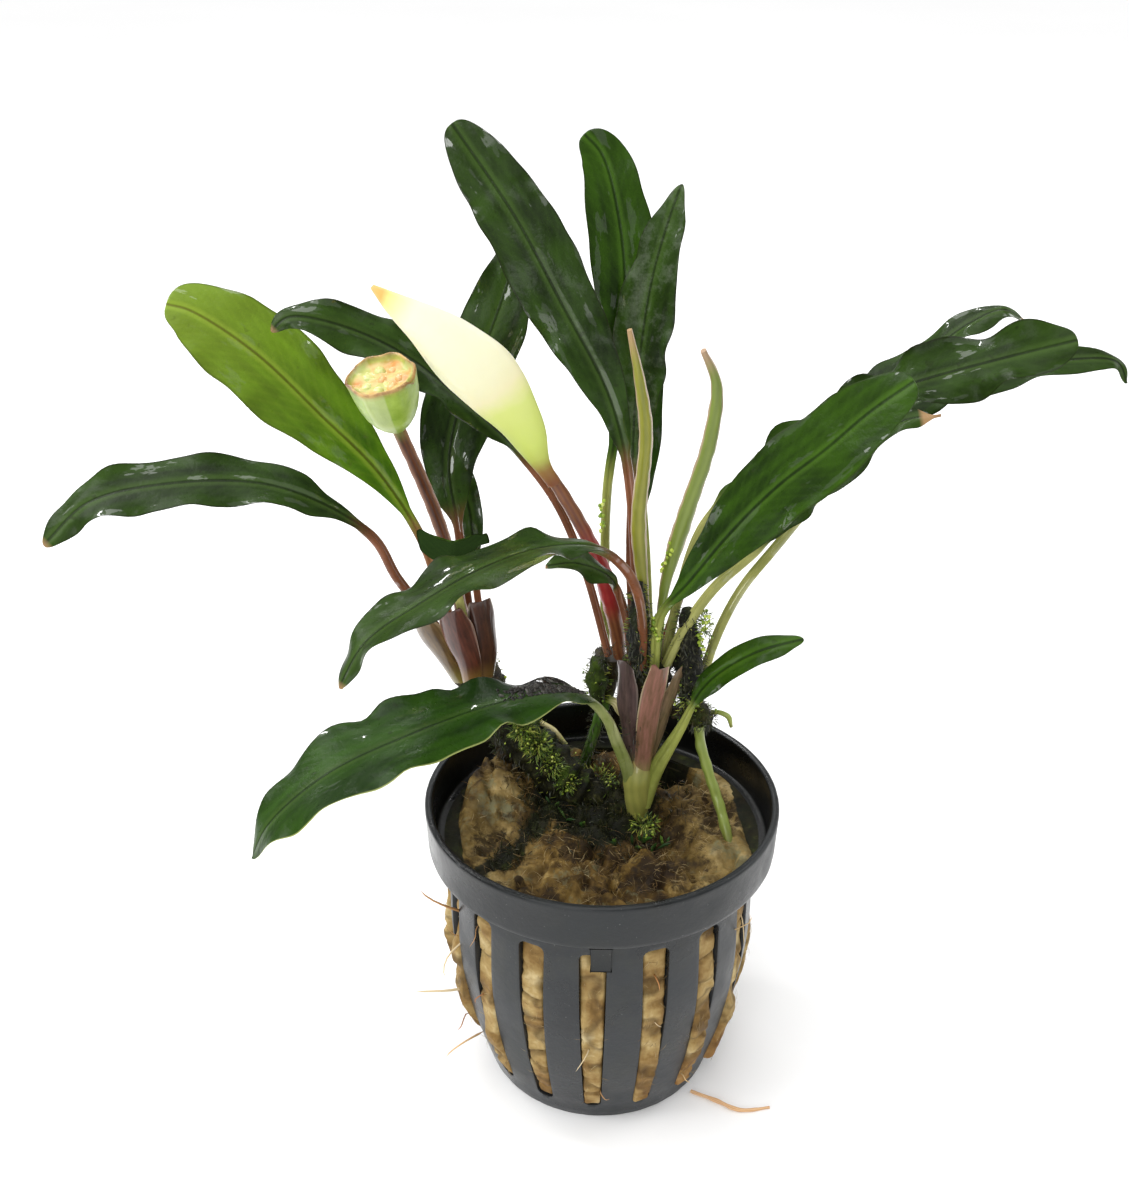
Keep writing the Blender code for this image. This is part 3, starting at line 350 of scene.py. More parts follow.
# Cup: share of its depth, radius, how brown the rim is and how far inside the place is
CUP_PROFILE = ((0.13, 0.0, 0.0, 0.0), (0.13, 1.15, 0.0, 0.0), (0.17, 1.6, 0.0, 0.0), (0.24, 2.35, 0.0, 0.0),
               (0.33, 3.1, 0.0, 0.0), (0.44, 3.7, 0.0, 0.0), (0.58, 4.15, 0.0, 0.0), (0.74, 4.45, 0.0, 0.0),
               (0.9, 4.66, 0.0, 0.0), (0.96, 4.76, 0.3, 0.0), (1.0, 4.82, 1.0, 0.0), (1.02, 4.7, 1.0, 0.0),
               (1.02, 4.5, 0.9, 0.0), (0.995, 4.34, 0.4, 0.1), (0.965, 4.15, 0.0, 0.3),
               (0.945, 3.9, 0.0, 0.75), (0.935, 3.5, 0.0, 1.0), (0.93, 2.9, 0.0, 1.0),
               (0.92, 2.2, 0.0, 1.0), (0.93, 1.2, 0.0, 1.0), (0.935, 0.0, 0.0, 1.0))
CUP_NOTCH_TURN = 0.35
CUP_NOTCH_DEPTH = 0.12
# Of the seeds in the ring three are tan, and so is the last one, in the middle
TAN_SEEDS = (0, 1, 6, SEEDS)

# Long root hairs seen in the photo: points and thickness
HAIR_STEPS = 7
ROOT_HAIRS = (
    (((-20.5, -8.5, 33.0), (-24.5, -10.5, 36.5), (-26.8, -11.0, 38.5), (-28.0, -11.0, 40.0)), 0.26),
    (((-20.0, -8.0, 29.0), (-24.0, -9.8, 26.0), (-25.0, -10.2, 23.0), (-24.6, -10.0, 21.0)), 0.2),
    (((-20.0, -7.0, 17.0), (-24.0, -8.6, 17.4), (-27.5, -9.5, 18.0), (-29.8, -10.0, 18.4)), 0.28),
    (((-19.0, -8.0, 8.0), (-22.6, -9.8, 7.0), (-24.6, -10.4, 5.6), (-25.4, -10.6, 4.6)), 0.2),
    (((18.0, -12.0, 32.0), (21.0, -13.4, 34.6), (22.6, -14.0, 36.6), (22.0, -14.0, 38.0)), 0.12),
)

# How many threads grow on a long stem or mat and on a short one, and how many of moss on each
ALGAE_ON_LONG = 420
ALGAE_ON_SHORT = 90
MOSS_ON_STEM = 110
# Clumps of threads: the centre, half sizes, count, length and thickness
ALGAE_CLUMPS = (
    ((5.4, 2.2, 76.0), (1.6, 1.2, 7.0), 200, 1.3, 0.07),
    ((5.6, 3.2, 62.0), (2.2, 1.6, 7.0), 160, 1.3, 0.07),
    ((12.8, 4.0, 73.0), (1.8, 1.8, 7.0), 200, 1.5, 0.07),
    ((-20.2, 12.6, 69.0), (2.4, 1.8, 3.0), 120, 1.3, 0.06),
    ((0.4, 5.0, 72.0), (1.5, 1.5, 2.0), 60, 1.2, 0.06),
)
MOSS_CLUMPS = (
    ((7.6, 1.6, 78.6), (1.4, 1.0, 2.0), 120, 1.1, 0.08),
    ((15.0, 3.2, 77.8), (1.2, 1.2, 2.6), 120, 1.2, 0.08),
    ((12.8, 2.6, 66.0), (1.6, 1.3, 3.0), 80, 1.1, 0.08),
    ((-0.4, 11.5, 44.4), (3.6, 3.2, 1.4), 260, 1.5, 0.09),
    ((-12.4, 8.6, 56.0), (1.5, 1.0, 2.2), 420, 1.7, 0.085),
    ((-10.2, 7.8, 53.6), (1.8, 1.0, 2.4), 460, 1.8, 0.085),
    ((-8.0, 7.0, 50.4), (1.8, 1.0, 2.0), 300, 1.5, 0.08),
    ((-5.4, 6.0, 47.6), (2.0, 1.0, 1.6), 160, 1.1, 0.08),
    ((-14.6, 11.6, 58.4), (1.6, 1.2, 2.0), 80, 1.1, 0.08),
    ((7.0, -0.5, 44.4), (2.2, 2.0, 1.0), 120, 1.4, 0.09),
)
# Chains of bead moss: the two ends and the count
BEAD_CHAINS = (
    ((-0.6, 2.0, 98.5), (-0.2, 2.6, 94.0), 14),
    ((9.6, 2.4, 91.5), (8.1, 2.8, 87.4), 14),
    ((7.2, 0.8, 80.5), (8.0, 0.6, 77.0), 16),
    ((15.4, 2.4, 80.0), (14.6, 2.2, 74.0), 22),
    ((13.8, 2.6, 70.0), (14.6, 2.6, 64.0), 18),
)
# Young shoots: the foot and the height
SHOOTS = (((6.6, -1.4, 43.5), 3.6), ((8.4, -2.6, 43.5), 3.0), ((5.2, -2.0, 43.5), 2.6),
          ((9.8, -1.6, 43.5), 2.6), ((-5.6, 3.4, 43.5), 2.6), ((-2.6, 1.6, 43.5), 2.2),
          ((-7.6, 5.4, 43.5), 2.4), ((2.2, -3.0, 43.5), 2.0))

# Camera: place and dip were fitted to the pot's outlines in the photo; the focus is in pixels
CAMERA_PLACE = (-5.8, -179.5, 178.3)
CAMERA_DIP = 27.7
CAMERA_FOCUS = 1400.0
PICTURE_HEIGHT = 1200
SENSOR_SIZE = 36.0

# The floor's radius in metres
FLOOR_RADIUS = 4.0

# Soft boxes: name; place, aim, and width and height, in metres; and power
SOFT_BOXES = (
    ("left soft box", (-0.55, -0.15, 0.75), (0.0, 0.0, 0.08), (0.35, 0.5), 2.4),
    ("right soft box", (0.7, 0.25, 0.6), (0.0, 0.0, 0.08), (0.3, 0.5), 2.0),
    ("rear strip light", (-0.05, 0.5, 0.66), (0.0, 0.0, 0.09), (0.5, 0.035), 1.3),
    ("front window", (-0.5, -1.25, 0.55), (0.0, 0.0, 0.1), (0.5, 0.45), 4.5),
    ("left strip light", (-0.5, 0.25, 0.6), (0.0, 0.0, 0.09), (0.03, 0.4), 1.0),
)
# The broad light from above: its strength, the angle it fills in degrees, and where it comes from
SKY_STRENGTH = 1.73
SKY_ANGLE = 60.0
SKY_FROM = (-0.25, -0.15, 1.0)
WORLD_STRENGTH = 0.49


def mix(a, b, share):
    """A value part of the way from a to b."""
    return a + (b - a) * share


def smooth_step(value):
    """Ease from 0 to 1."""
    value = min(1.0, max(0.0, value))
    return value * value * (3.0 - 2.0 * value)


def profile_at(profile, place):
    """The value of a list of (place, value) pairs at a place between them."""
    for (low, first), (high, second) in zip(profile, profile[1:]):
        if place <= high:
            return mix(first, second, max(0.0, (place - low) / (high - low)))
    return profile[-1][1]


def smooth_profile_at(profile, place):
    """The value of a list of (place, value) pairs, eased between them without corners."""
    places, values = zip(*profile)
    index = 0
    while index < len(places) - 2 and places[index + 1] < place:
        index += 1
    low, high = places[index], places[index + 1]
    t = min(1.0, max(0.0, (place - low) / (high - low)))
    slopes = []
    for at in (index, index + 1):
        before = max(at - 1, 0)
        after = min(at + 1, len(places) - 1)
        slopes.append((values[after] - values[before]) / (places[after] - places[before]) * (high - low))
    return ((2 * t ** 3 - 3 * t ** 2 + 1) * values[index] + (t ** 3 - 2 * t ** 2 + t) * slopes[0]
            + (3 * t ** 2 - 2 * t ** 3) * values[index + 1] + (t ** 3 - t ** 2) * slopes[1])


def wander(x, y, z, seed=0.0):
    """Smooth noise between about -1 and 1."""
    return noise.noise(Vector((x + seed * 17.3, y - seed * 9.1, z + seed * 5.7))) * 1.6


def smooth_curve(route):
    """Closely spaced points on a smooth curve through a route (a centripetal Catmull-Rom curve)."""
    points = [Vector(point) for point in route]
    ends = [points[0] * 2 - points[1]] + points + [points[-1] * 2 - points[-2]]
    curve = [points[0]]
    for a, b, c, d in zip(ends, ends[1:], ends[2:], ends[3:]):
        ta = 0.0
        tb = ta + (b - a).length ** 0.5
        tc = tb + (c - b).length ** 0.5
        td = tc + (d - c).length ** 0.5
        for step in range(1, CURVE_STEPS + 1):
            t = mix(tb, tc, step / CURVE_STEPS)
            first = a.lerp(b, (t - ta) / (tb - ta))
            second = b.lerp(c, (t - tb) / (tc - tb))
            third = c.lerp(d, (t - tc) / (td - tc))
            left = first.lerp(second, (t - ta) / (tc - ta))
            right = second.lerp(third, (t - tb) / (td - tb))
            curve.append(left.lerp(right, (t - tb) / (tc - tb)))
    return curve


def stations(route, shares):
    """The point, the direction and the distance from the foot at each share of a route's length."""
    curve = smooth_curve(route)
    lengths = [0.0]
    for before, after in zip(curve, curve[1:]):
        lengths.append(lengths[-1] + (after - before).length)
    directions = []
    for index in range(len(curve)):
        before = curve[max(index - 1, 0)]
        after = curve[min(index + 1, len(curve) - 1)]
        directions.append((after - before).normalized())
    found = []
    index = 0
    for share in shares:
        target = share * lengths[-1]
        while index < len(curve) - 2 and lengths[index + 1] < target:
            index += 1
        part = (target - lengths[index]) / (lengths[index + 1] - lengths[index])
        point = curve[index].lerp(curve[index + 1], part)
        direction = directions[index].lerp(directions[index + 1], part).normalized()
        found.append((point, direction, target))
    return found


def turned(angle, whole=360.0):
    """An angle brought to within half of a whole turn from zero."""
    return (angle + whole / 2) % whole - whole / 2


def scatter(chance, x=1.0, y=1.0, z=1.0):
    """A random vector, spread by these amounts."""
    return Vector((chance.gauss(0, x), chance.gauss(0, y), chance.gauss(0, z)))


def lean_out(chance, spread, rise):
    """A random way with a fixed rise."""
    return Vector((chance.gauss(0, spread), chance.gauss(0, spread), rise)).normalized()


def across(direction, facing):
    """The sideways and the upward direction of a section that faces one way."""
    side = direction.cross(facing).normalized()
    return side, side.cross(direction).normalized()


def at_angle(radius, angle, height):
    """A point at an angle from the side that faces the camera, positive to the right."""
    turn = math.radians(angle)
    return Vector((radius * math.sin(turn), -radius * math.cos(turn), height))


def wrapped_skin(columns, rows, place):
    """A closed skin from one grid: its two sides meet, and its first and last rows close to a point.

    place(around, row) gives a point in millimetres and two vectors that the materials read:
    the place on the surface and the zone.
    """
    bm = bmesh.new()
    bmesh.ops.create_grid(bm, x_segments=columns, y_segments=rows, size=0.5)
    places = bm.verts.layers.float_vector.new("place")
    zones = bm.verts.layers.float_vector.new("zone")
    for vert in bm.verts:
        around = round((vert.co.x + 0.5) * columns) / columns
        point, vert[places], vert[zones] = place(around % 1.0, round((vert.co.y + 0.5) * rows))
        vert.co = point * MM
    bmesh.ops.remove_doubles(bm, verts=bm.verts, dist=1e-7)
    return bm


def strands(paths, sides, seed):
    """Many thin closed strands in one mesh, from one long grid cut into lengths.

    Each path is a list of (point, radius) pairs with the same count, and the first and last
    radius are zero, so that every strand ends in a point.
    """
    per_path = len(paths[0])
    rows = len(paths) * per_path - 1
    bm = bmesh.new()
    bmesh.ops.create_grid(bm, x_segments=sides, y_segments=rows, size=0.5)
    zones = bm.verts.layers.float_vector.new("zone")
    chance = random.Random(seed)
    tints = [[chance.random() for _ in range(3)] for path in paths]
    frames = []
    for path in paths:
        direction = (path[-1][0] - path[0][0]).normalized()
        facing = Vector((0.31, -0.85, 0.43)) if abs(direction.z) > 0.5 else Vector((0.1, 0.2, 0.97))
        frames.append(across(direction, facing))
    links = []
    for face in bm.faces:
        lows = [round((vert.co.y + 0.5) * rows) for vert in face.verts]
        if max(lows) % per_path == 0 and min(lows) % per_path == per_path - 1:
            links.append(face)
    for vert in bm.verts:
        row = round((vert.co.y + 0.5) * rows)
        turn = math.tau * (round((vert.co.x + 0.5) * sides) % sides) / sides
        index, step = divmod(row, per_path)
        point, radius = paths[index][step]
        side, up = frames[index]
        vert.co = (point + side * radius * math.cos(turn) + up * radius * math.sin(turn)) * MM
        vert[zones] = (step / (per_path - 1), *tints[index][:2])
    bmesh.ops.delete(bm, geom=links, context="FACES_ONLY")
    bmesh.ops.remove_doubles(bm, verts=bm.verts, dist=1e-8)
    loose = [edge for edge in bm.edges if not edge.link_faces]
    bmesh.ops.delete(bm, geom=loose, context="EDGES")
    return bm


def add_object(name, data):
    """Put an object with its data into the scene."""
    item = bpy.data.objects.new(name, data)
    bpy.context.scene.collection.objects.link(item)
    return item


def add_piece(name, bm, material, nodes=(), sharp=40.0):
    """Put a closed mesh into the scene as a finished piece that may stand for CAD nodes.

    Edges sharper than this angle in degrees stay sharp.
    """
    bmesh.ops.recalc_face_normals(bm, faces=bm.faces)
    for face in bm.faces:
        face.smooth = True
    mesh = bpy.data.meshes.new(name)
    bm.to_mesh(mesh)
    bm.free()
    mesh.set_sharp_from_angle(angle=math.radians(sharp))
    mesh.materials.append(material)
    piece = add_object(name, mesh)
    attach(piece, "root")
    if nodes:
        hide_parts(*nodes)
    return piece


def linear(code):
    """The linear colour of an sRGB hex value."""
    channels = (int(code[i:i + 2], 16) / 255 for i in (1, 3, 5))
    return tuple(c / 12.92 if c <= 0.04045 else ((c + 0.055) / 1.055) ** 2.4 for c in channels) + (1.0,)


class Finish:
    """A material's shader, with a short method for each kind of node that feeds it.

    A value may be a number, a vector, a colour code, a node, which gives its first output, or the
    name of a source: "solid" is the place in the object in metres, "place" and "zone" are what the
    mesh carries at each point, and "place.X" is one channel of it.
    """

    def __init__(self, name, roughness, **constants):
        self.material = bpy.data.materials.new(name)
        self.material.use_nodes = True
        self.shader = self.material.node_tree.nodes["Principled BSDF"]
        self.sources = {}
        for socket, value in dict(constants, Roughness=roughness).items():
            self.shader.inputs[socket.replace("_", " ")].default_value = value

    def fill(self, target, value):
        """Set an input, or link it to the output that the value stands for."""
        if isinstance(value, str):
            value = linear(value) if value.startswith("#") else self.source(value)
        if isinstance(value, bpy.types.Node):
            value = next(socket for socket in value.outputs if socket.enabled)
        if isinstance(value, bpy.types.NodeSocket):
            self.material.node_tree.links.new(value, target)
        else:
            target.default_value = value

    def add(self, kind, inputs, **settings):
        """Add a node with its settings, and fill its named or numbered inputs."""
        node = self.material.node_tree.nodes.new("ShaderNode" + kind)
        for name, value in settings.items():
            setattr(node, name, value)
        for name, value in inputs.items():
            target = node.inputs[name] if isinstance(name, int) else next(
                socket for socket in node.inputs if socket.enabled and socket.name == name)
            self.fill(target, value)
        return node

    def source(self, name):
        """The output of a node that several others read, made when it is first named."""
        whole, _, channel = name.partition(".")
        if name not in self.sources and channel:
            split = self.add("SeparateXYZ", {0: whole})
            self.sources.update({whole + "." + output.name: output for output in split.outputs})
        elif name not in self.sources:
            self.sources[name] = (self.add("TexCoord", {}).outputs["Object"] if name == "solid"
                                  else self.add("Attribute", {}, attribute_name=name).outputs[0])
        return self.sources[name]

    def put(self, socket, value):
        """Lead a node to one of the shader's sockets."""
        self.fill(self.shader.inputs[socket], value)

    def noise(self, scale, detail, roughness=0.5, vector="solid"):
        """Noise with this many waves in a metre, or in a unit of another vector."""
        return self.add("TexNoise", {"Vector": vector, "Scale": scale, "Detail": detail,
                                     "Roughness": roughness})

    def wave(self, vector, scale, distortion, detail_scale):
        """Uneven parallel bands."""
        return self.add("TexWave", {"Vector": vector, "Scale": scale, "Distortion": distortion, "Detail": 2.0,
                                    "Detail Scale": detail_scale}, wave_type="BANDS", bands_direction="X")

    def flat(self, first, second):
        """A vector of two channels."""
        return self.add("CombineXYZ", {0: first, 1: second})

    def stretch(self, vector, scale, rotation=(0.0, 0.0, 0.0)):
        """A vector that is turned and scaled."""
        return self.add("Mapping", {"Vector": vector, "Scale": scale, "Rotation": rotation})

    def math(self, operation, *values):
        """Arithmetic on one to three values."""
        return self.add("Math", dict(enumerate(values)), operation=operation)

    def span(self, value, low=0.0, high=1.0, to_low=0.0, to_high=1.0):
        """A value led from one range to another."""
        return self.add("MapRange", {"Value": value, "From Min": low, "From Max": high, "To Min": to_low,
                                     "To Max": to_high})

    def blend(self, share, first, second):
        """A value between two others."""
        return self.add("Mix", {"Factor": share, "A": first, "B": second})

    def tint(self, share, first, second):
        """A colour between two others."""
        return self.add("Mix", {"Factor": share, "A": first, "B": second}, data_type="RGBA")

    def ramp(self, value, *stops):
        """Colours or grey values at several places between 0 and 1."""
        node = self.add("ValToRGB", {"Fac": value})
        elements = node.color_ramp.elements
        while len(elements) < len(stops):
            elements.new(1.0)
        for element, (position, colour) in zip(elements, stops):
            element.position = position
            element.color = linear(colour) if isinstance(colour, str) else (colour, colour, colour, 1.0)
        return node

    def bump(self, height, strength, distance, socket="Normal"):
        """Relief of a depth in metres."""
        self.put(socket, self.add("Bump", {"Strength": strength, "Distance": distance, "Height": height}))


def leaf_material(name, top, deep, young, groove, under, stalk, margin, rim=None, film=0.0, wet=0.38,
                  litter=0.0, tip=1.0, fresh=0.12, coat=1.0, sheen=0.12, rill=0.12):
    """Living bucephalandra leaf: a thick waxy skin with a sunk midrib, wet in patches.

    The eye sees deep satin green, a dark line of painted shade in the midrib's groove between two
    ridges painted lighter as highlights, faint side veins, sharp glare where water lies, a paler
    underside and a red-brown or pale stalk.
    """
    leaf = Finish(name, roughness=0.4, Specular_IOR_Level=sheen, Coat_Roughness=0.04, Coat_IOR=1.6)
    # Lengthwise bands 2 to 3 mm wide over mottling of about 7 mm, and skin grain of about 0.6 mm
    surface = leaf.flat("place.X", "place.Y")
    band = leaf.noise(1.0, 3.0, vector=leaf.stretch(surface, (0.45, 0.03, 1.0)))
    mottle = leaf.blend(0.55, leaf.noise(140.0, 4.0, 0.6), band)
    grain = leaf.noise(1600.0, 2.0)
    # Side veins leave the midrib 1.4 mm apart and sweep forward to the margin
    sideways = leaf.math("ABSOLUTE", "place.X")
    sweep = leaf.math("SUBTRACT", leaf.math("MULTIPLY", "place.Y", 0.55), sideways)
    side_veins = leaf.wave(leaf.flat(sweep, "place.X"), 0.225, 3.2, 0.5)
    vein_line = leaf.span(side_veins, 0.5, 1.0, 0.0, 0.05)
    # The midrib is a groove 0.4 mm wide between two ridges half a millimetre out; the ramp runs over 1 mm
    ridge_highlight = leaf.ramp(sideways, (0.12, 0.0), (0.36, 0.4), (0.6, 0.3), (1.0, 0.0))
    line = leaf.ramp(sideways, (0.06, 0.5), (0.26, 0.0))
    skin = leaf.ramp(mottle, (0.4, deep), (0.6, top))
    skin = leaf.tint(leaf.span("place.Z", 0.3, 1.0, 0.0, fresh), skin, young)
    skin = leaf.tint(vein_line, skin, young)
    # The ridges are painted lighter as a highlight, and the midrib's groove darker as shade
    skin = leaf.tint(ridge_highlight, skin, young)
    skin = leaf.tint(line, skin, groove)
    # The underside is paler
    skin = leaf.tint("zone.Z", leaf.tint(vein_line, under, young), skin)
    # The outer 5% or so of each half is a thin margin; where a rim colour is given, one side's margin is
    # painted in it as a highlight
    edge = leaf.tint(leaf.span("place.X", -0.5, 0.5), rim or margin, margin)
    skin = leaf.tint(leaf.span("zone.Y", 0.95 if rim else 0.93, 0.99, 0.0, 0.8), skin, edge)
    # Dried specks of about a millimetre and, on an old leaf, a whitish film of algae
    skin = leaf.tint(leaf.span(leaf.noise(620.0, 1.0), 0.72, 0.76, 0.0, 0.4), skin, margin)
    haze = leaf.noise(260.0, 6.0, 0.75)
    skin = leaf.tint(leaf.span(haze, 0.48, 0.75, 0.0, film), skin, "#a9b0a0")
    # Black crumbs that stick to the base of one leaf, behind its midrib
    crumb_reach = leaf.ramp("place.Z", (0.04, 0.0), (0.1, litter), (0.26, litter), (0.36, 0.0))
    crumbs = leaf.math("MULTIPLY", crumb_reach, leaf.span("place.X", 0.8, 2.0))
    crumb_mask = leaf.span(leaf.math("MULTIPLY", crumbs, haze), 0.38, 0.44)
    skin = leaf.tint(crumb_mask, skin, leaf.ramp(grain, (0.5, "#12110e"), (0.68, "#6b6a64")))
    # The stalk has soft lengthwise bands, and the tip of a leaf may be dead
    skin = leaf.tint("zone.X", leaf.ramp(mottle, (0.38, stalk[0]), (0.6, stalk[1])), skin)
    skin = leaf.tint(leaf.span("place.Z", tip, tip + 0.02, 0.0, 0.8), skin, "#a98560")
    leaf.put("Base Color", skin)
    # Water lies in streaks of about 2 by 8 mm, more along the midrib and towards the margins
    puddle = leaf.noise(1.0, 4.0, 0.6, vector=leaf.stretch(surface, (0.42, 0.11, 1.0)))
    pool = leaf.ramp("place.X", (0.1, 0.0), (0.22, 1.0), (0.75, 1.0), (1.0, 0.0))
    puddle = leaf.math("MULTIPLY_ADD", pool, leaf.span("place.Z", 0.68, 0.45, 0.0, rill), puddle)
    puddle = leaf.math("MULTIPLY_ADD", "zone.Y", 0.08, puddle)
    leaf.put("Coat Weight", leaf.span(puddle, 0.73 - 0.22 * wet, 0.745 - 0.22 * wet, 0.0, coat))
    leaf.put("Roughness", leaf.span(grain, to_low=0.22, to_high=0.38))
    # Veins and midrib are sunk by less than a tenth of a millimetre
    relief = leaf.math("MULTIPLY_ADD", side_veins, -0.15, grain)
    relief = leaf.math("MULTIPLY_ADD", line, -1.2, relief)
    relief = leaf.math("MULTIPLY_ADD", crumb_mask, 3.0, relief)
    leaf.bump(relief, 0.6, 0.00009)
    leaf.bump(leaf.noise(300.0, 2.0), 0.5, 0.00025, "Coat Normal")
    return leaf.material


def pot_material(name, low, high, stain):
    """Injection-moulded polypropylene, black: a satin skin with a fine grain.

    The eye sees a slate black with soft glare on the rounded edges, a little dust outside, and
    the inside of the collar painted near-black as shade.
    """
    pot = Finish(name, roughness=0.38, Specular_IOR_Level=0.4)
    cloud = pot.noise(90.0, 5.0, 0.6)
    colour = pot.ramp(cloud, (0.3, low), (0.7, high))
    # Dust specks of about 0.3 mm
    colour = pot.tint(pot.span(pot.noise(2400.0, 1.0), 0.76, 0.80, 0.0, 0.3), colour, "#8c8f8a")
    # Brown-green water stain, in patches of about 10 mm
    colour = pot.tint(pot.span(pot.noise(110.0, 6.0, 0.7), 0.5, 0.8, 0.0, 0.5), colour, stain)
    # The collar's inside, nearer to the axis than 26.4 mm and higher than 43 mm, is painted near-black as
    # shade
    reach = pot.add("VectorMath", {0: pot.stretch("solid", (1.0, 1.0, 0.0))}, operation="LENGTH")
    inner = pot.span(reach.outputs["Value"], 0.02637, 0.02648, 1.0, 0.0)
    painted_shade_height = pot.span("solid.Z", 0.0430, 0.0434, 0.0, 0.9)
    pot.put("Base Color", pot.tint(pot.math("MULTIPLY", inner, painted_shade_height), colour, "#040505"))
    pot.put("Roughness", pot.span(cloud, 0.35, 0.65, 0.2, 0.5))
    pot.bump(pot.noise(900.0, 5.0, 0.7), 0.5, 0.00012)
    return pot.material


def wool_material():
    """Rock wool: matted mineral fibre, wet and stained by peat and algae.

    The eye sees soft golden-beige lumps with creases painted dark brown as shade, darker and
    browner on top, and green-black algae where light falls.
    """
    wool = Finish("wet rock wool", roughness=0.8, Specular_IOR_Level=0.2)
    # Matted fibre bundles: noise stretched to about 1 by 4 mm, in two directions
    warp = wool.stretch("solid", (900.0, 900.0, 260.0), (0.5, 0.3, 0.0))
    weft = wool.stretch("solid", (300.0, 300.0, 1000.0), (0.0, 0.4, 0.6))
    matted = wool.blend(0.5, wool.noise(1.0, 4.0, 0.65, warp), wool.noise(1.0, 4.0, 0.65, weft))
    lump = wool.noise(170.0, 4.0, 0.6)
    tone = wool.blend(0.72, matted, lump)
    colour = wool.ramp(tone, (0.34, "#5e4620"), (0.45, "#86693a"), (0.56, "#a68d5a"), (0.68, "#ccb98c"))
    # The top is wetter and stained: olive brown, with soaked and ashen patches of about 8 mm
    peat = wool.ramp(tone, (0.37, "#22180a"), (0.47, "#4c3814"), (0.56, "#7a602e"), (0.66, "#b59b62"))
    # It is drier and paler more than 9 mm to either side of the middle
    straw = wool.ramp(tone, (0.36, "#46351a"), (0.46, "#7b6535"), (0.56, "#a28c5a"), (0.66, "#c6b384"))
    dry = wool.span(wool.math("ABSOLUTE", "solid.X"), 0.009, 0.017, 0.0, 0.75)
    peat = wool.tint(dry, peat, straw)
    patch = wool.noise(120.0, 6.0, 0.75)
    peat = wool.tint(wool.span(patch, 0.5, 0.58, 0.0, 0.85), peat, "#22170b")
    peat = wool.tint(wool.span(patch, 0.45, 0.37, 0.0, 0.7), peat, "#737458")
    colour = wool.tint("place.X", colour, peat)
    # Creases are painted dark brown as shade, and the foot is rusty
    colour = wool.tint("zone.Z", colour, "#2a1b0b")
    colour = wool.tint(wool.math("MULTIPLY", "zone.Y", lump), colour, "#8a4a18")
    # Algae, with its edge broken up over about 3 mm; the same near-black is painted as shade where the top
    # falls away by the wall, and the side darkens towards its top
    ragged = wool.noise(330.0, 6.0, 0.75)
    spread = wool.math("ADD", wool.math("MULTIPLY_ADD", "zone.X", 1.35, -0.72), ragged)
    algae = wool.ramp(ragged, (0.35, "#070805"), (0.56, "#161b0c"), (0.75, "#3c4719"))
    wool.put("Base Color", wool.tint(wool.span(spread, 0.40, 0.62, 0.0, 0.95), colour, algae))
    wool.bump(wool.blend(0.4, matted, ragged), 0.55, 0.0005)
    wool.put("Roughness", wool.span(lump, to_low=0.5, to_high=0.9))
    return wool.material


def thread_material(name, tones, roughness=0.55, foot_darkening=0.6):
    """Thin living or mineral threads: each thread has its own tone between the given colours."""
    thread = Finish(name, roughness=roughness)
    colour = thread.ramp("zone.Y", *((index / (len(tones) - 1), tone) for index, tone in enumerate(tones)))
    # The foot of a thread is darker than its tip
    thread.put("Base Color", thread.tint(thread.span("zone.X", 0.0, 0.6, foot_darkening, 0.0), colour, "#221a0e"))
    return thread.material


def stem_material(name, bark, dark, light, moss, mossy=0.85):
    """Old creeping stem or a mat on it: rough brown bark or black algae, with moss in the hollows."""
    stem = Finish(name, roughness=0.7, Specular_IOR_Level=0.2)
    rough = stem.noise(620.0, 7.0, 0.75)
    wide = stem.noise(190.0, 4.0, 0.65)
    colour = stem.ramp(rough, (0.38, dark), (0.56, bark), (0.68, light))
    colour = stem.tint(stem.span(wide, 0.52, 0.64, 0.0, mossy), colour, stem.tint(rough, dark, moss))
    stem.put("Base Color", colour)
    stem.put("Roughness", stem.span(wide, to_low=0.3, to_high=0.9))
    stem.bump(rough, 1.0, 0.0006)
    return stem.material


def striped_material(name, light, dark, blush, rim=None, rim_from=0.8, spacing=0.5, roughness=0.38, coat=0.35,
                     contrast=1.0, stripes=0.3, streaks=0.5):
    """A wet stalk, root or old sheath: lengthwise fibres in two tones, with a blush along part of it.

    The rim is the paler colour at the two sides: on a shell, where the piece is thin; on a round piece, its
    two sides as seen from the camera, where it is a painted highlight.
    """
    stalk = Finish(name, roughness=roughness, Specular_IOR_Level=0.35, Coat_Weight=coat, Coat_Roughness=0.1,
                   Coat_IOR=1.4)
    # Fibre bundles run along the piece, by default about half a millimetre apart
    line = stalk.flat("place.X", "place.Y")
    stripe = stalk.wave(line, 0.314 / spacing, 3.0, 0.15)
    # Blots of about 3 mm, and streaks of about 1 by 6 mm
    streak = stalk.noise(1.0, 4.0, 0.65, stalk.stretch(line, (1.1, 0.16, 1.0)))
    blot = stalk.blend(streaks, stalk.noise(330.0, 5.0, 0.65), streak)
    tone = stalk.blend(1.0 - stripes, stripe, blot)
    colour = stalk.ramp(tone, (0.5 - 0.24 / contrast, dark), (0.5 + 0.24 / contrast, light))
    colour = stalk.tint("zone.X", colour, blush)
    edge = stalk.span("zone.Y", rim_from, 0.98, 0.0, 0.85 if rim else 0.0)
    stalk.put("Base Color", stalk.tint(edge, colour, rim or light))
    stalk.bump(tone, 0.22 * contrast, 0.00012)
    return stalk.material


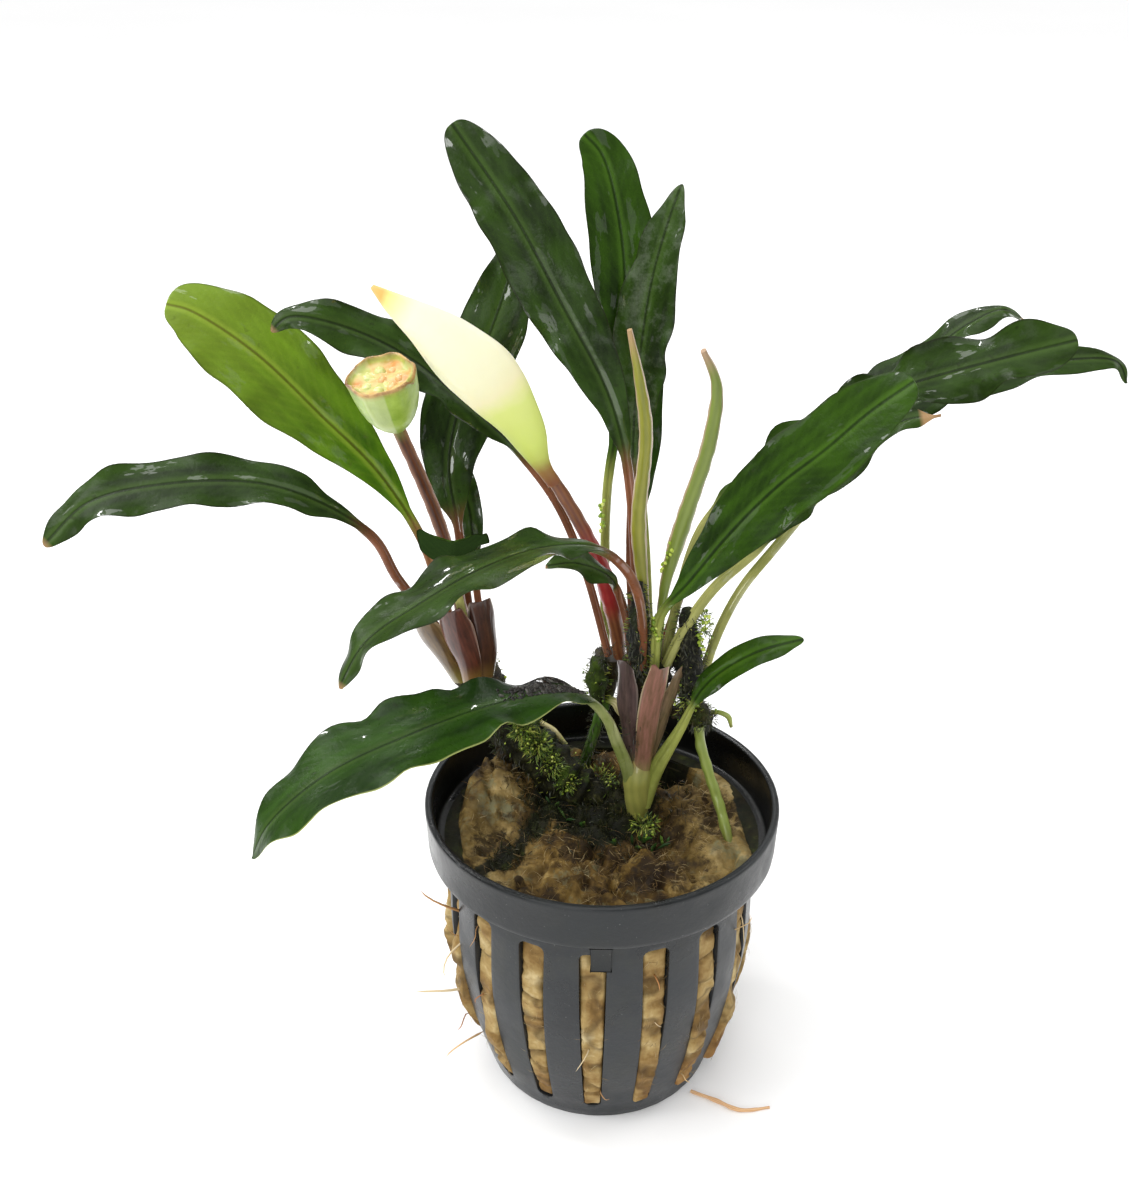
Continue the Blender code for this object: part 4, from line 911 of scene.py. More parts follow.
def spathe_material():
    """Flower hood of a bucephalandra: thick waxy petal tissue, a little see-through.

    The eye sees warm white, yellow towards the tip, green over the chamber and brown at the foot.
    """
    hood = Finish("waxy white spathe", roughness=0.4, Specular_IOR_Level=0.3, Subsurface_Weight=0.6,
                  Subsurface_Radius=(1.0, 0.9, 0.6), Subsurface_Scale=0.0022)
    # The edges between the colours are uneven by a millimetre
    share = hood.math("MULTIPLY_ADD", hood.noise(160.0, 4.0), 0.07, "place.Z")
    colour = hood.ramp(share, (0.04, "#7d4a2c"), (0.1, "#94703a"), (0.16, "#b5c060"), (0.22, "#c3d270"),
                       (0.38, "#d3df88"), (0.46, "#f4e8bc"), (0.54, "#fbf3c8"), (0.86, "#fdf6d0"),
                       (0.97, "#f8e08c"), (1.0, "#d9a860"))
    # Thin pinkish-brown line along the margin
    hood.put("Base Color", hood.tint(hood.span("zone.Y", 0.94, 1.0, 0.0, 0.4), colour, "#d9b48c"))
    hood.bump(hood.noise(1200.0, 2.0), 0.15, 0.0001)
    return hood.material


def cup_material():
    """The cut foot of an old flower: firm green flesh with a torn brown rim and orange pulp inside."""
    cup = Finish("green flower cup", roughness=0.42, Coat_Weight=0.3, Coat_Roughness=0.15)
    cloud = cup.noise(380.0, 4.0, 0.6)
    flesh = cup.ramp(cloud, (0.35, "#83a030"), (0.7, "#a6bf50"))
    # Every second of the six facets is paler
    facet = cup.math("COSINE", cup.math("MULTIPLY_ADD", "place.X", 3.0, 0.9))
    flesh = cup.tint(cup.span(facet, 0.45, 0.6, 0.0, 0.35), flesh, "#dbe0b4")
    # The pulp is orange in blots of about 3 mm, and pale green near the wall
    pulp = cup.ramp(cup.noise(290.0, 3.0, 0.6), (0.4, "#b9bb68"), (0.48, "#d2b470"), (0.6, "#cf8c48"))
    colour = cup.tint("zone.Z", flesh, pulp)
    cup.put("Base Color", cup.tint("zone.Y", colour, cup.ramp(cloud, (0.4, "#7d4f26"), (0.6, "#c29a5c"))))
    cup.bump(cloud, 0.6, 0.0003)
    return cup.material


def seed_material(name, light, dark):
    """A wet seed: a thin smooth coat over pale flesh, mottled at about 0.5 mm."""
    seed = Finish(name, roughness=0.35, Coat_Weight=0.5, Coat_Roughness=0.1, Subsurface_Weight=0.15,
                  Subsurface_Scale=0.0006)
    cloud = seed.noise(1300.0, 3.0)
    seed.put("Base Color", seed.ramp(cloud, (0.35, dark), (0.65, light)))
    seed.bump(cloud, 0.3, 0.0001)
    return seed.material


def floor_material():
    """Matt white paper sweep."""
    paper = Finish("matt white paper", roughness=0.9, Specular_IOR_Level=0.2)
    paper.put("Base Color", paper.ramp(paper.noise(3.0, 2.0), (0.0, "#fafafa"), (1.0, "#ffffff")))
    return paper.material


def blade_half(spec, along):
    """Half of a blade's width at a share of its length."""
    power = math.log(0.5) / math.log(spec["widest"])
    exponent = spec["blunt"] if along > spec["widest"] else spec.get("taper", BASE_TAPER)
    return spec["width"] / 2 * max(0.0, math.sin(math.pi * along ** power)) ** exponent


def blade_facing(spec, along):
    """The way a blade faces at a share of its length."""
    first, last = (Vector(facing).normalized() for facing in spec["face"])
    return first.lerp(last, along)


def leaf_skin(spec, seed):
    """A leaf: a channelled stalk that opens into a folded blade with a sunk midrib and wavy margins."""
    start = spec["blade"]
    shares = [0.0] + [start * i / STALK_ROWS for i in range(STALK_ROWS)]
    for i in range(BLADE_ROWS + 1):
        shares.append(start + (1.0 - start) * (1.0 - (1.0 - i / BLADE_ROWS) ** TIP_CROWDING))
    ripple = spec.get("ripple", RIPPLE)
    sections = []
    for share, (point, direction, length) in zip(shares, stations(spec["route"], shares)):
        along = max(0.0, (share - start) / (1.0 - start))
        side, up = across(direction, blade_facing(spec, along))
        blade = blade_half(spec, along)
        clasp = (spec.get("foot", spec["stalk"]) - spec["stalk"]) * (1.0 - min(1.0, share / start))
        narrowest = (spec["stalk"] + clasp) * smooth_step((1.0 - along) / BLADE_END)
        # The right and the left half differ by a few hundredths
        halves = [max(narrowest, blade * (1.0 + 0.05 * wander(length / 5.0, half_seed, 0.0, seed)), 0.06)
                  for half_seed in (3.0, -3.0)]
        sections.append((point, side, up, halves, smooth_step(along / BLADE_END), along, length, clasp))

    def place(around, row):
        point, side, up, halves, flatness, along, length, clasp = sections[row]
        turn = math.tau * around
        c, s = math.cos(turn), math.sin(turn)
        # Each leaf reads another stretch of the same pattern
        pattern = length + 41.0 * seed
        if row in (0, len(sections) - 1):
            return point, (0.0, pattern, along), (flatness, 1.0 if row else 0.0, 0.5)
        stalk = spec["stalk"]
        channel = 0.32 * math.exp(-(c / 0.42) ** 2) if s > 0 else 0.0
        half = halves[0] if c > 0 else halves[1]
        spread = c * (0.72 + 0.28 * c * c)
        reach = abs(spread)
        flat_x = spread * half
        depth = mix(BLADE_THICKNESS, MARGIN_THICKNESS, reach ** 1.4) / 2
        flat_y = math.copysign(depth * abs(s) ** 0.5, s)
        groove = math.exp(-(flat_x / 0.5) ** 2)
        flat_y -= 0.14 * groove if s > 0 else 0.42 * groove * (1.0 - along)
        lift = spec["fold"] * (math.hypot(flat_x, 0.5) - 0.5)
        fade = smooth_step(along / 0.25) * smooth_step((1.0 - along) / BLADE_END)
        phase = seed * 2.1 + (1.7 if c > 0 else 0.0)
        wave = math.sin(length / 1.9 + phase + 1.5 * wander(length / 9, seed, 0.0))
        lift += ripple * fade * reach ** 2 * wave
        lift += 0.30 * fade * reach * wander(length / 4.0, flat_x / 3.0, 1.0, seed)
        x = mix(c * (stalk + clasp), flat_x, flatness)
        y = mix(s * (stalk + FOOT_DEPTH * clasp) * (1.0 - channel), flat_y + lift, flatness)
        upper = 0.5 if abs(s) < 0.01 else float(s > 0)
        return point + side * x + up * y, (x, pattern, along), (flatness, reach * flatness, upper)

    return wrapped_skin(LEAF_COLUMNS, len(shares) - 1, place)


def skin_along(route, columns, rows, blush_at, section):
    """A closed skin along a route, which may blush at a share of its length.

    section(around, share, point, direction, length) gives a point, how far across the piece it is,
    how near to an edge, and whether it is outside.
    """
    shares = [0.0] + [i / rows for i in range(rows + 1)] + [1.0]
    sections = stations(route, shares)

    def place(around, row):
        share = shares[row]
        point, direction, length = sections[row]
        blush = blush_at(share) if blush_at else 0.0
        if row in (0, len(shares) - 1):
            return point, (0.0, length, share), (blush, 0.0, 0.0)
        spot, sideways, edge, outside = section(around, share, point, direction, length)
        return spot, (sideways, length, share), (blush, edge, outside)

    return wrapped_skin(columns, len(shares) - 1, place)


def tube_skin(route, radius_at, columns, rows, seed, lumps=0.04, roll=0.0, blush_at=None):
    """A closed round skin along a route, slightly uneven; roll is the step of a rolled-up leaf."""
    def section(around, share, point, direction, length):
        side, up = across(direction, Vector(TUBE_FACING))
        turn = math.tau * around
        plain = radius_at(share)
        radius = plain * (1.0 + roll * (min(around / ROLL_SEAM, 1.0) - 0.5))
        if roll and around > ROLL_SEAM:
            radius = plain * (1.0 + roll * (0.5 - (around - ROLL_SEAM) / ROLL_STEP))
        lean = side * math.cos(turn) + up * math.sin(turn)
        unevenness = wander(*(point / 1.6 + lean * 1.3), seed) + 0.5 * math.sin(length * 1.9 + seed)
        radius += lumps * plain * unevenness
        # A round piece's edge is its two sides as seen from the camera, where a paler rim is painted as a
        # highlight
        return point + lean * radius, (around - 0.5) * math.tau * plain, abs(math.cos(turn)), 0.0

    return skin_along(route, columns, rows, blush_at, section)


def shell_skin(route, half_at, angle_at, facing, thickness, columns, rows, seed, squash=1.0, ragged=0.0,
               wave=0.0, blush_at=None):
    """A thin curved shell along a route, such as a hood or an old sheath, its back on the route."""
    outward = Vector(facing).normalized()

    def section(around, share, point, direction, length):
        side, up = across(direction, outward)
        outside = around < 0.5
        t = -1.0 + 4.0 * around if outside else 3.0 - 4.0 * around
        angle = math.radians(angle_at(share))
        half = half_at(share)
        radius = half / math.sin(min(angle, math.pi / 2))
        wall = thickness * (1.0 - 0.75 * abs(t) ** 5) * min(1.0, radius / (2.0 * thickness))
        reach = radius if outside else radius - wall
        turn = angle * t
        tear = ragged * share ** 3 * (0.5 + 0.9 * wander(t * 2.6, 0.0, 0.0, seed))
        swell = wave * abs(t) ** 2 * math.sin(length / 1.7 + seed + (1.2 if t > 0 else 0.0))
        spot = (point + side * reach * math.sin(turn) + up * (reach * math.cos(turn) - radius) * squash
                - direction * tear + up * swell)
        return spot, t * half, abs(t), float(outside)

    return skin_along(route, columns, rows, blush_at, section)


def slot_half(height):
    """Half of a slot's angle at a height: slots narrow towards the foot."""
    share = (height - SLOT_FOOT_Z) / (SLOT_TOP_Z - SLOT_FOOT_Z)
    return mix(SLOT_ANGLE_FOOT, SLOT_ANGLE_TOP, min(1.0, max(0.0, share))) / 2


def slot_edge(height, radius):
    """Half of a slot's width in degrees at a height, with rounded corners at its two ends."""
    half = slot_half(height)
    for corner, depth in ((SLOT_FOOT_CORNER, height - SLOT_FOOT_Z), (SLOT_TOP_CORNER, SLOT_TOP_Z - height)):
        if depth < corner:
            cut = corner - math.sqrt(max(0.0, corner ** 2 - (corner - depth) ** 2))
            half -= math.degrees(cut / radius)
    return half


def pot_rows():
    """The height of every row of the pot's wall, close together round the slots' corners."""
    quarter = [math.radians(18 * i) for i in range(6)]
    heights = list(POT_ROWS_BELOW)
    heights += [SLOT_FOOT_Z + SLOT_FOOT_CORNER * (1.0 - math.cos(turn)) for turn in quarter]
    first = heights[-1]
    last = SLOT_TOP_Z - SLOT_TOP_CORNER
    heights += [mix(first, last, i / 16) for i in range(1, 16)]
    heights += [SLOT_TOP_Z - SLOT_TOP_CORNER * (1.0 - math.cos(turn)) for turn in reversed(quarter)]
    return heights + list(POT_ROWS_ABOVE)


def pot_body():
    """The slotted wall and the floor, without thickness yet: a grid bent into a cup, its slots cut out."""
    heights = pot_rows()
    floor_rows = len(POT_FLOOR_RADII)
    rows = floor_rows + len(heights) - 1
    columns = SLOTS * POT_COLUMNS_PER_SLOT
    bm = bmesh.new()
    bmesh.ops.create_grid(bm, x_segments=columns, y_segments=rows, size=0.5)
    cut = []
    for face in bm.faces:
        centre = face.calc_center_median()
        column = int((centre.x + 0.5) * columns) % POT_COLUMNS_PER_SLOT
        row = int((centre.y + 0.5) * rows) - floor_rows
        if column not in OPEN_COLUMNS or row < 0:
            continue
        if heights[row] >= SLOT_FOOT_Z and heights[row + 1] <= SLOT_TOP_Z + 1e-6:
            cut.append(face)
    for vert in bm.verts:
        column = round((vert.co.x + 0.5) * columns) % columns
        row = round((vert.co.y + 0.5) * rows)
        slot, step = divmod(column, POT_COLUMNS_PER_SLOT)
        if row < floor_rows:
            height, radius = 0.0, POT_FLOOR_RADII[row]
            edge = slot_half(0.0)
        else:
            height = heights[row - floor_rows]
            radius = smooth_profile_at(BODY_PROFILE, height)
            edge = slot_edge(min(SLOT_TOP_Z, max(SLOT_FOOT_Z, height)), radius)
            # The foot's edge is rounded
            if height < 0.4:
                radius -= 0.12
        rib = SLOT_PITCH / 2
        offsets = (-rib, -rib + RIB_MIDDLE_ANGLE, -edge - SLOT_FRAME_ANGLE, -edge, -edge / 2, 0.0, edge / 2,
                   edge, edge + SLOT_FRAME_ANGLE, rib - RIB_MIDDLE_ANGLE)
        vert.co = at_angle(radius, FIRST_SLOT_ANGLE + SLOT_PITCH * slot + offsets[step], height) * MM
    bmesh.ops.delete(bm, geom=cut, context="FACES")
    bmesh.ops.remove_doubles(bm, verts=bm.verts, dist=1e-6)
    bmesh.ops.recalc_face_normals(bm, faces=bm.faces)
    # The faces look outwards, away from a point halfway up the axis
    middle = Vector((0, 0, 0.025))
    if sum(face.normal.dot(face.calc_center_median() - middle) for face in bm.faces) < 0:
        bmesh.ops.reverse_faces(bm, faces=bm.faces)
    return bm


def build_collar():
    """The collar with its rounded lip, rough places and the small tab moulded under it."""
    bm = bmesh.new()
    verts = [bm.verts.new((radius * MM, 0.0, height * MM)) for radius, height in COLLAR_PROFILE]
    edges = [bm.edges.new((verts[i], verts[(i + 1) % len(verts)])) for i in range(len(verts))]
    bmesh.ops.spin(bm, geom=verts + edges, cent=(0, 0, 0), axis=(0, 0, 1), angle=math.tau,
                   steps=COLLAR_STEPS, use_merge=True)
    bmesh.ops.recalc_face_normals(bm, faces=bm.faces)
    for vert in bm.verts:
        x, y, z = vert.co / MM
        angle = math.degrees(math.atan2(x, -y))
        burr = sum(size * max(0.0, 1.0 - abs(angle - centre) / spread)
                   for centre, spread, size in RIM_BURRS)
        if z > LIP_Z:
            vert.co.z += min(0.0, wander(angle * 0.9, 3.0, 0.0) * (0.05 + burr)) * MM
            vert.co.xy *= 1.0 + 0.002 * wander(angle * 0.35, 1.0, 0.0) * (0.3 + burr * 4)
        else:
            vert.co.xy *= 1.0 + 0.0012 * wander(angle * 0.12, z / 9.0, 0.0)
    tab = bmesh.ops.create_cube(bm, size=1.0)["verts"]
    for vert in tab:
        height = mix(TAB_FOOT_Z, TAB_TOP_Z, vert.co.z + 0.5)
        radius = smooth_profile_at(BODY_PROFILE, height) + 0.4 - TAB_DEPTH * (0.5 - vert.co.y)
        spread = TAB_SPREAD_TOP if vert.co.z > 0 else TAB_SPREAD_FOOT
        vert.co = at_angle(radius, TAB_ANGLE + vert.co.x * spread, height) * MM
    # A dict drops repeated edges and keeps the others in order
    edges = list(dict.fromkeys(edge for vert in tab for edge in vert.link_edges))
    bmesh.ops.bevel(bm, geom=edges, offset=TAB_ROUNDING * MM, affect="EDGES", segments=2, profile=0.5,
                    material=-1)
    return bm


def build_pot(settings):
    """The net pot: its slotted body, and its collar with the lip."""
    material = pot_material("black moulded polypropylene", "#15181b", "#282c2f", "#34352a")
    body = add_piece("net_pot_body", pot_body(), material, ("net_pot",), sharp=38.0)
    wall = body.modifiers.new("wall", "SOLIDIFY")
    wall.thickness = WALL * MM
    wall.offset = -1.0
    soften = body.modifiers.new("soft moulded edges", "BEVEL")
    soften.width = BODY_ROUNDING * MM
    soften.segments = 2
    soften.limit_method = "ANGLE"
    soften.angle_limit = math.radians(50)
    # The collar's copy of the same plastic is painted darker than the body's, as shade
    material = pot_material("black moulded collar", "#0b0d0f", "#1b1f21", "#222319")
    add_piece("net_pot_collar", build_collar(), material, ("net_pot",), sharp=38.0)


def slot_openness(angle, height):
    """How far a place on the wall is inside a slot, from 0 to 1: full up to the slot's edges."""
    offset = turned(angle - FIRST_SLOT_ANGLE, SLOT_PITCH)
    return (smooth_step((1.12 - abs(offset) / slot_half(height)) / 0.3)
            * smooth_step((height - SLOT_FOOT_Z) / 0.6) * smooth_step((SLOT_TOP_Z - height) / 0.6))


def wool_crease(point):
    """The depth of the creases between wool lumps at a point, from 0 to 1, where the colour is also painted
    dark brown as shade.
    """
    fold = wander(point.x / 7.0, point.y / 7.0, point.z / 4.2, 3.0)
    fine = wander(point.x / 3.0, point.y / 3.0, point.z / 2.0, 5.0)
    return max(0.0, 1.0 - abs(fold + 0.3 * fine) / 0.26)


def wool_side(angle, height):
    """The wool's radius on its side: behind the wall, and swelling into each slot."""
    inner = profile_at(BODY_PROFILE, height) - WALL - 0.3
    open_part = slot_openness(angle, height)
    if open_part <= 0.0:
        return inner
    spot = at_angle(inner, angle, height)
    swell = 1.6 - 0.6 * smooth_step((height - 24.0) / 10.0) - 0.5 * wool_crease(spot)
    swell += 0.4 * wander(spot.x / 6.0, spot.y / 6.0, spot.z / 6.0, 1.0)
    swell += 0.12 * wander(spot.x / 1.9, spot.y / 1.9, spot.z / 1.6, 2.0)
    for bulge_angle, bulge_height, size in WOOL_BULGES:
        aside = turned(angle - bulge_angle)
        swell += size * smooth_step(1.4 - math.hypot(aside / 8.0, (height - bulge_height) / 9.0))
    # The moulded tab holds the wool back
    beside_tab = abs(turned(angle - TAB_ANGLE))
    pressed = smooth_step((4.6 - beside_tab) / 0.8) * smooth_step((height - TAB_FOOT_Z + 0.9) / 0.8)
    return inner + open_part * max(-0.4, mix(swell, min(swell, 0.5), pressed))


def wool_edge(x, y):
    """The radius at which the wool's top falls off, and how far it stands away from the wall there."""
    turn = math.atan2(x, -y)
    gap = 0.0
    for angle, spread, size in WOOL_GAPS:
        away = abs(turned(math.degrees(turn) - angle))
        gap = max(gap, size * smooth_step(1.5 - 1.5 * away / spread))
    ripple = 0.8 * wander(math.cos(turn) * 2.0, math.sin(turn) * 2.0, 0.0, 4.0)
    return WOOL_EDGE_RADIUS + ripple - gap, gap


def wool_top(x, y):
    """The height of the wool's top: lumpy, higher round the left stem, and fallen in by the wall."""
    reach = math.hypot(x, y)
    edge, gap = wool_edge(x, y)
    lump = 1.6 * wander(x / 6.5, y / 6.5, 0.3) + 1.1 * wander(x / 2.8, y / 2.8, 2.1)
    lump += 0.42 * wander(x / 1.2, y / 1.2, 4.6) - 1.5 * wool_crease(Vector((x, y, WOOL_TOP_Z)))
    hole_x, hole_y, spread, depth = WOOL_HOLE
    hole = depth * smooth_step(1.4 - math.hypot(x - hole_x, y - hole_y) / spread)
    mound_x, mound_y, spread, rise = WOOL_MOUND
    lump += (rise * smooth_step(1.3 - math.hypot(x - mound_x, y - mound_y) / spread)
             * smooth_step((25.0 - reach) / 3.0))
    height = WOOL_TOP_Z + 0.6 + lump - (1.2 + 1.6 * gap) * smooth_step((reach - edge) / 1.4) - hole
    # Over the collar's inner step the wool can't sink
    return max(height, POT_STEP_Z) if reach > POT_STEP_RADIUS else height


def algae_at(x, y):
    """How thick the algae lies on the wool's top: round the stems and in a streak at the left."""
    crown = smooth_step(1.25 - math.hypot((x + 1.0) / 13.5, (y - 6.0) / 12.5))
    streak = smooth_step(1.0 - abs((x + 13.0) * 0.6 - (y + 4.0) * 0.5) / 3.2) * smooth_step((12.0 - y) / 8.0)
    return max(crown, 0.75 * streak)


def build_wool(settings):
    """The wool plug as one dense skin, its lumps filling the slots and its top open to the light."""
    heights = [mix(WOOL_SIDE_FROM_Z, WOOL_SIDE_TO_Z, i / WOOL_SIDE_ROWS) for i in range(WOOL_SIDE_ROWS + 1)]

    def place(around, row):
        turn = turned(around * SLOTS, 1.0)
        middle = FIRST_SLOT_ANGLE + SLOT_PITCH * (around * SLOTS - turn)
        angle = middle + SLOT_PITCH * turn
        if row < len(WOOL_FLOOR_RADII):
            return at_angle(WOOL_FLOOR_RADII[row], angle, WOOL_FLOOR_Z), (0.0, 0.0, 0.0), (0.0, 0.0, 0.0)
        row -= len(WOOL_FLOOR_RADII)
        if row < len(heights):
            height = heights[row]
            # The columns stand closer in the slots than behind the ribs, and follow the slots' edges
            half = slot_half(height)
            columns = ((0.0, 0.0), (0.25, 0.88 * half), (0.3, 0.98 * half), (0.35, 1.08 * half),
                       (0.5, SLOT_PITCH / 2))
            angle = middle + math.copysign(profile_at(columns, abs(turn)), turn)
            spot = at_angle(wool_side(angle, height), angle, height)
            # Rust at the foot, more of it at the right
            clockwise = angle % 360.0
            right = smooth_step((clockwise - 10) / 30.0) * (clockwise < 180.0)
            rust = smooth_step((16.0 - height) / 14.0) * (0.2 + 0.6 * right)
            # The side darkens towards the top of the slots
            dark = max(0.25 * smooth_step((height - 33.0) / 8.0), smooth_step((height - 39.0) / 0.8))
            return spot, (0.0, height, 0.0), (dark, rust, wool_crease(spot) * 0.6)
        share = (row - len(heights) + 1) / WOOL_TOP_ROWS
        radius = WOOL_TOP_RADIUS * (1.0 - share)
        flat = at_angle(radius, angle, 0.0)
        flat.z = wool_top(flat.x, flat.y)
        edge, gap = wool_edge(flat.x, flat.y)
        # Past its edge, where the top falls away by the wall, it is painted near-black as shade
        dark = max(algae_at(flat.x, flat.y), smooth_step((radius - edge - 0.1) / 0.7))
        return flat, (1.0, radius, 0.0), (dark, 0.0, wool_crease(flat) * 0.55)

    skin = wrapped_skin(WOOL_COLUMNS, len(WOOL_FLOOR_RADII) + len(heights) + WOOL_TOP_ROWS - 1, place)
    add_piece("rock_wool_plug", skin, wool_material(), ("rock_wool",), sharp=80.0)


def lying_thread(root, along, outward, length, lift, thickness, chance):
    """A thread of four points that starts in a surface and lies over it, bent a little."""
    bend = along.cross(outward) * chance.uniform(-0.35, 0.35) * length
    return [(root - outward * 0.15, 0.0),
            (root + along * length * 0.3 + outward * lift * 0.7 + bend * 0.2, thickness),
            (root + along * length * 0.68 + outward * lift + bend * 0.6, thickness * 0.85),
            (root + along * length + outward * lift * chance.uniform(0.4, 1.8) + bend * 1.3, 0.0)]


def grain(centre, lean, share, first, second):
    """A short lump of four points about a centre, with two radii between its pointed ends."""
    return [(centre - lean, 0.0), (centre - lean * share, first), (centre + lean * share, second),
            (centre + lean, 0.0)]


def side_root(chance):
    """A place on the wool in one of the slots, and its way out."""
    slot = chance.randrange(SLOTS)
    height = chance.uniform(SLOT_FOOT_Z + 0.6, SLOT_TOP_Z - 0.6)
    angle = FIRST_SLOT_ANGLE + SLOT_PITCH * slot + chance.uniform(-0.9, 0.9) * slot_half(height)
    root = at_angle(wool_side(angle, height), angle, height)
    return root, at_angle(1.0, angle, 0.0)


def top_root(chance, reach):
    """A place on the wool's top, within reach of the pot's axis."""
    turn = chance.uniform(0.0, math.tau)
    radius = reach * math.sqrt(chance.random())
    x = radius * math.cos(turn)
    y = radius * math.sin(turn)
    return Vector((x, y, wool_top(x, y)))


def build_fibres(settings):
    """Loose mineral fibres that lie on the wool in the slots and on its top."""
    chance = random.Random(11)
    paths = []
    while len(paths) < settings.fibre_count:
        if chance.random() < 0.3:
            root, outward = side_root(chance)
            along = (outward.cross(UP) * chance.gauss(0, 0.8) + UP * chance.gauss(0, 1.0)).normalized()
            length = chance.uniform(0.8, 2.2)
        else:
            root = top_root(chance, 20.8)
            if chance.random() < algae_at(root.x, root.y) * 0.85:
                continue
            outward = UP
            along = lean_out(chance, 1.0, 0.0)
            length = chance.uniform(1.0, 3.6)
        paths.append(lying_thread(root, along, outward, length, chance.uniform(0.05, 0.35),
                                  chance.uniform(0.016, 0.034), chance))
    material = thread_material("rock wool fibre", ("#5c4522", "#86683a", "#a58d5c", "#c0ab7c"), 0.6)
    add_piece("rock_wool_fibres", strands(paths, sides=3, seed=5), material)


def radius_profile(radii):
    """A radius eased between values that stand at even distances along a piece."""
    profile = [(index / (len(radii) - 1), radius) for index, radius in enumerate(radii)]
    return lambda share: smooth_profile_at(profile, share)


def add_tube(name, stem, grid, seed, material, slot, nodes=(), sharp=70.0, **form):
    """A round piece from a route and radii, in a grid of columns and rows."""
    route, radii = stem
    skin = tube_skin(route, radius_profile(radii), *grid, seed, **form)
    add_piece(name, skin, material, nodes, sharp)


def build_leaves(settings):
    """Every open leaf, each on its own stalk."""
    dark = dict(top="#2b4213", deep="#132106", young="#445c26", groove="#111706", under="#46582a",
                margin="#1a200c")
    brown, pale = ("#4e2c18", "#84543a"), ("#70753a", "#a9a866")
    bright = dict(top="#2c490a", deep="#142704", young="#4c7020", groove="#101e06", under="#5c7c34",
                  stalk=("#66702e", "#9aa052"), margin="#24330f")
    materials = {
        "leaf_dark": leaf_material("dark waxy leaf", **dark, stalk=brown, tip=0.98),
        "leaf_pale_stalk": leaf_material("dark leaf on a pale stalk", **dark, stalk=pale, sheen=0.08),
        "leaf_withered": leaf_material("dark leaf with a withered tip", **dark, stalk=pale, tip=0.91),
        "leaf_dry": leaf_material("dry dark leaf", **dark | dict(under="#26381a"), stalk=pale, coat=0.0,
                                  sheen=0.0),
        "leaf_wet": leaf_material("dark leaf under a film of water", **dark, stalk=brown, wet=0.5,
                                  rill=0.3),
        "leaf_bright": leaf_material("young waxy leaf", **bright, wet=0.46),
        "leaf_olive": leaf_material("olive waxy leaf", top="#527812", deep="#2f5006", young="#93a83a",
                                    groove="#4f3214", under="#7a9040", stalk=("#6a4428", "#9a6e48"),
                                    margin="#48561a", wet=0.42, fresh=0.45),
        "leaf_filmed": leaf_material("old leaf under pale algae", **dark, stalk=brown, film=0.22, wet=0.3),
        "leaf_littered": leaf_material("dark leaf with crumbs on it",
                                       **dark | dict(top="#29480f", deep="#132a06"),
                                       stalk=("#7f8a4a", "#aeb27c"), rim="#a9b06a", wet=0.3, litter=1.0),
    }
    for index, (name, spec) in enumerate(LEAVES.items()):
        slot = spec.get("finish", "leaf_dark")
        material = materials[spec.get("look", slot)]
        add_piece(name + "_blade", leaf_skin(spec, index + 1.0), material, (name,), sharp=75.0)


def build_rolled_leaves(settings):
    """Two young leaves that are still rolled up."""
    looks = {"rolled_leaf_olive": ("#96942f", "#696d1c", "#b08a68"),
             "rolled_leaf_pale": ("#7e8e3a", "#5e6e24", "#b08a74")}
    for index, (name, (light, dark, blush)) in enumerate(looks.items()):
        route, (foot, middle, tip) = TUBES[name]
        # The pale rim is painted as a highlight along the sides seen from the camera
        material = striped_material(name.replace("_", " "), light, dark, blush, "#b89a7c", rim_from=0.86,
                                    spacing=1.2, roughness=0.35, contrast=0.6)
        radii = (foot, foot * 0.95, middle * 1.1, middle, middle * 0.85, tip)
        add_tube(name + "_skin", (route, radii), (30, 90), 20.0 + index, material, "leaf_olive", (name,),
                 sharp=60.0, lumps=0.05, roll=0.3,
                 blush_at=lambda share: smooth_step((share - 0.9) / 0.1) * 0.8)


def build_stems(settings):
    """The creeping stems, the mats of algae and moss on them, the green crown base and a young root."""
    bark = stem_material("corky stem under algae", "#3c2f1a", "#100f09", "#6d6038", "#46551c")
    green = striped_material("young green stem", "#5f8436", "#38561e", "#2c2412", spacing=1.0, contrast=0.7)
    mossy = stem_material("stem under moss", "#25250f", "#0a0b06", "#50502a", "#5c7a1e", mossy=0.8)
    black = stem_material("black algae mat", "#1b1c12", "#060705", "#5d5c48", "#3c4a18", mossy=0.6)
    for index, (name, (route, radii)) in enumerate(STEMS.items()):
        # Each stem goes on into the wool
        foot = Vector(route[0]) - Vector((0.0, 0.0, 2.6))
        bare = name == "rhizome_back"
        add_tube(name + "_bark", ((foot, *route), (radii[0], *radii)), (40, 80), 30.0 + index,
                 green if bare else bark, "rhizome_brown", (name,), lumps=0.06 if bare else 0.2,
                 blush_at=lambda share: smooth_step((share - 0.6) / 0.2))
    add_tube("rhizome_right_bark", TUBES["rhizome_right"], (30, 30), 34.0, bark, "rhizome_brown",
             ("rhizome_right",), lumps=0.16)
    for index, (name, mat) in enumerate(MATS.items()):
        material = black if name.startswith("algae") else mossy if name.startswith("mossy") else bark
        add_tube(name, mat, (44, 70), 35.0 + index, material, "rhizome_brown", sharp=80.0, lumps=0.2)
    base = striped_material("green crown base", "#a8a454", "#7d8240", "#94705e", spacing=1.3, contrast=0.7,
                            stripes=0.15)
    add_tube("crown_base", CROWN_BASE, (36, 60), 44.0, base, "leaf_olive", lumps=0.02,
             blush_at=lambda share: 0.7 * smooth_step((share - 0.7) / 0.3))
    pale = striped_material("young pale root", "#e0d3a4", "#a8a058", "#7f9434", spacing=0.5)
    add_tube("young_root_back", YOUNG_ROOT, (20, 30), 46.0, pale, "root_cream", sharp=80.0, lumps=0.12,
             blush_at=lambda share: smooth_step((0.5 - share) / 0.4))


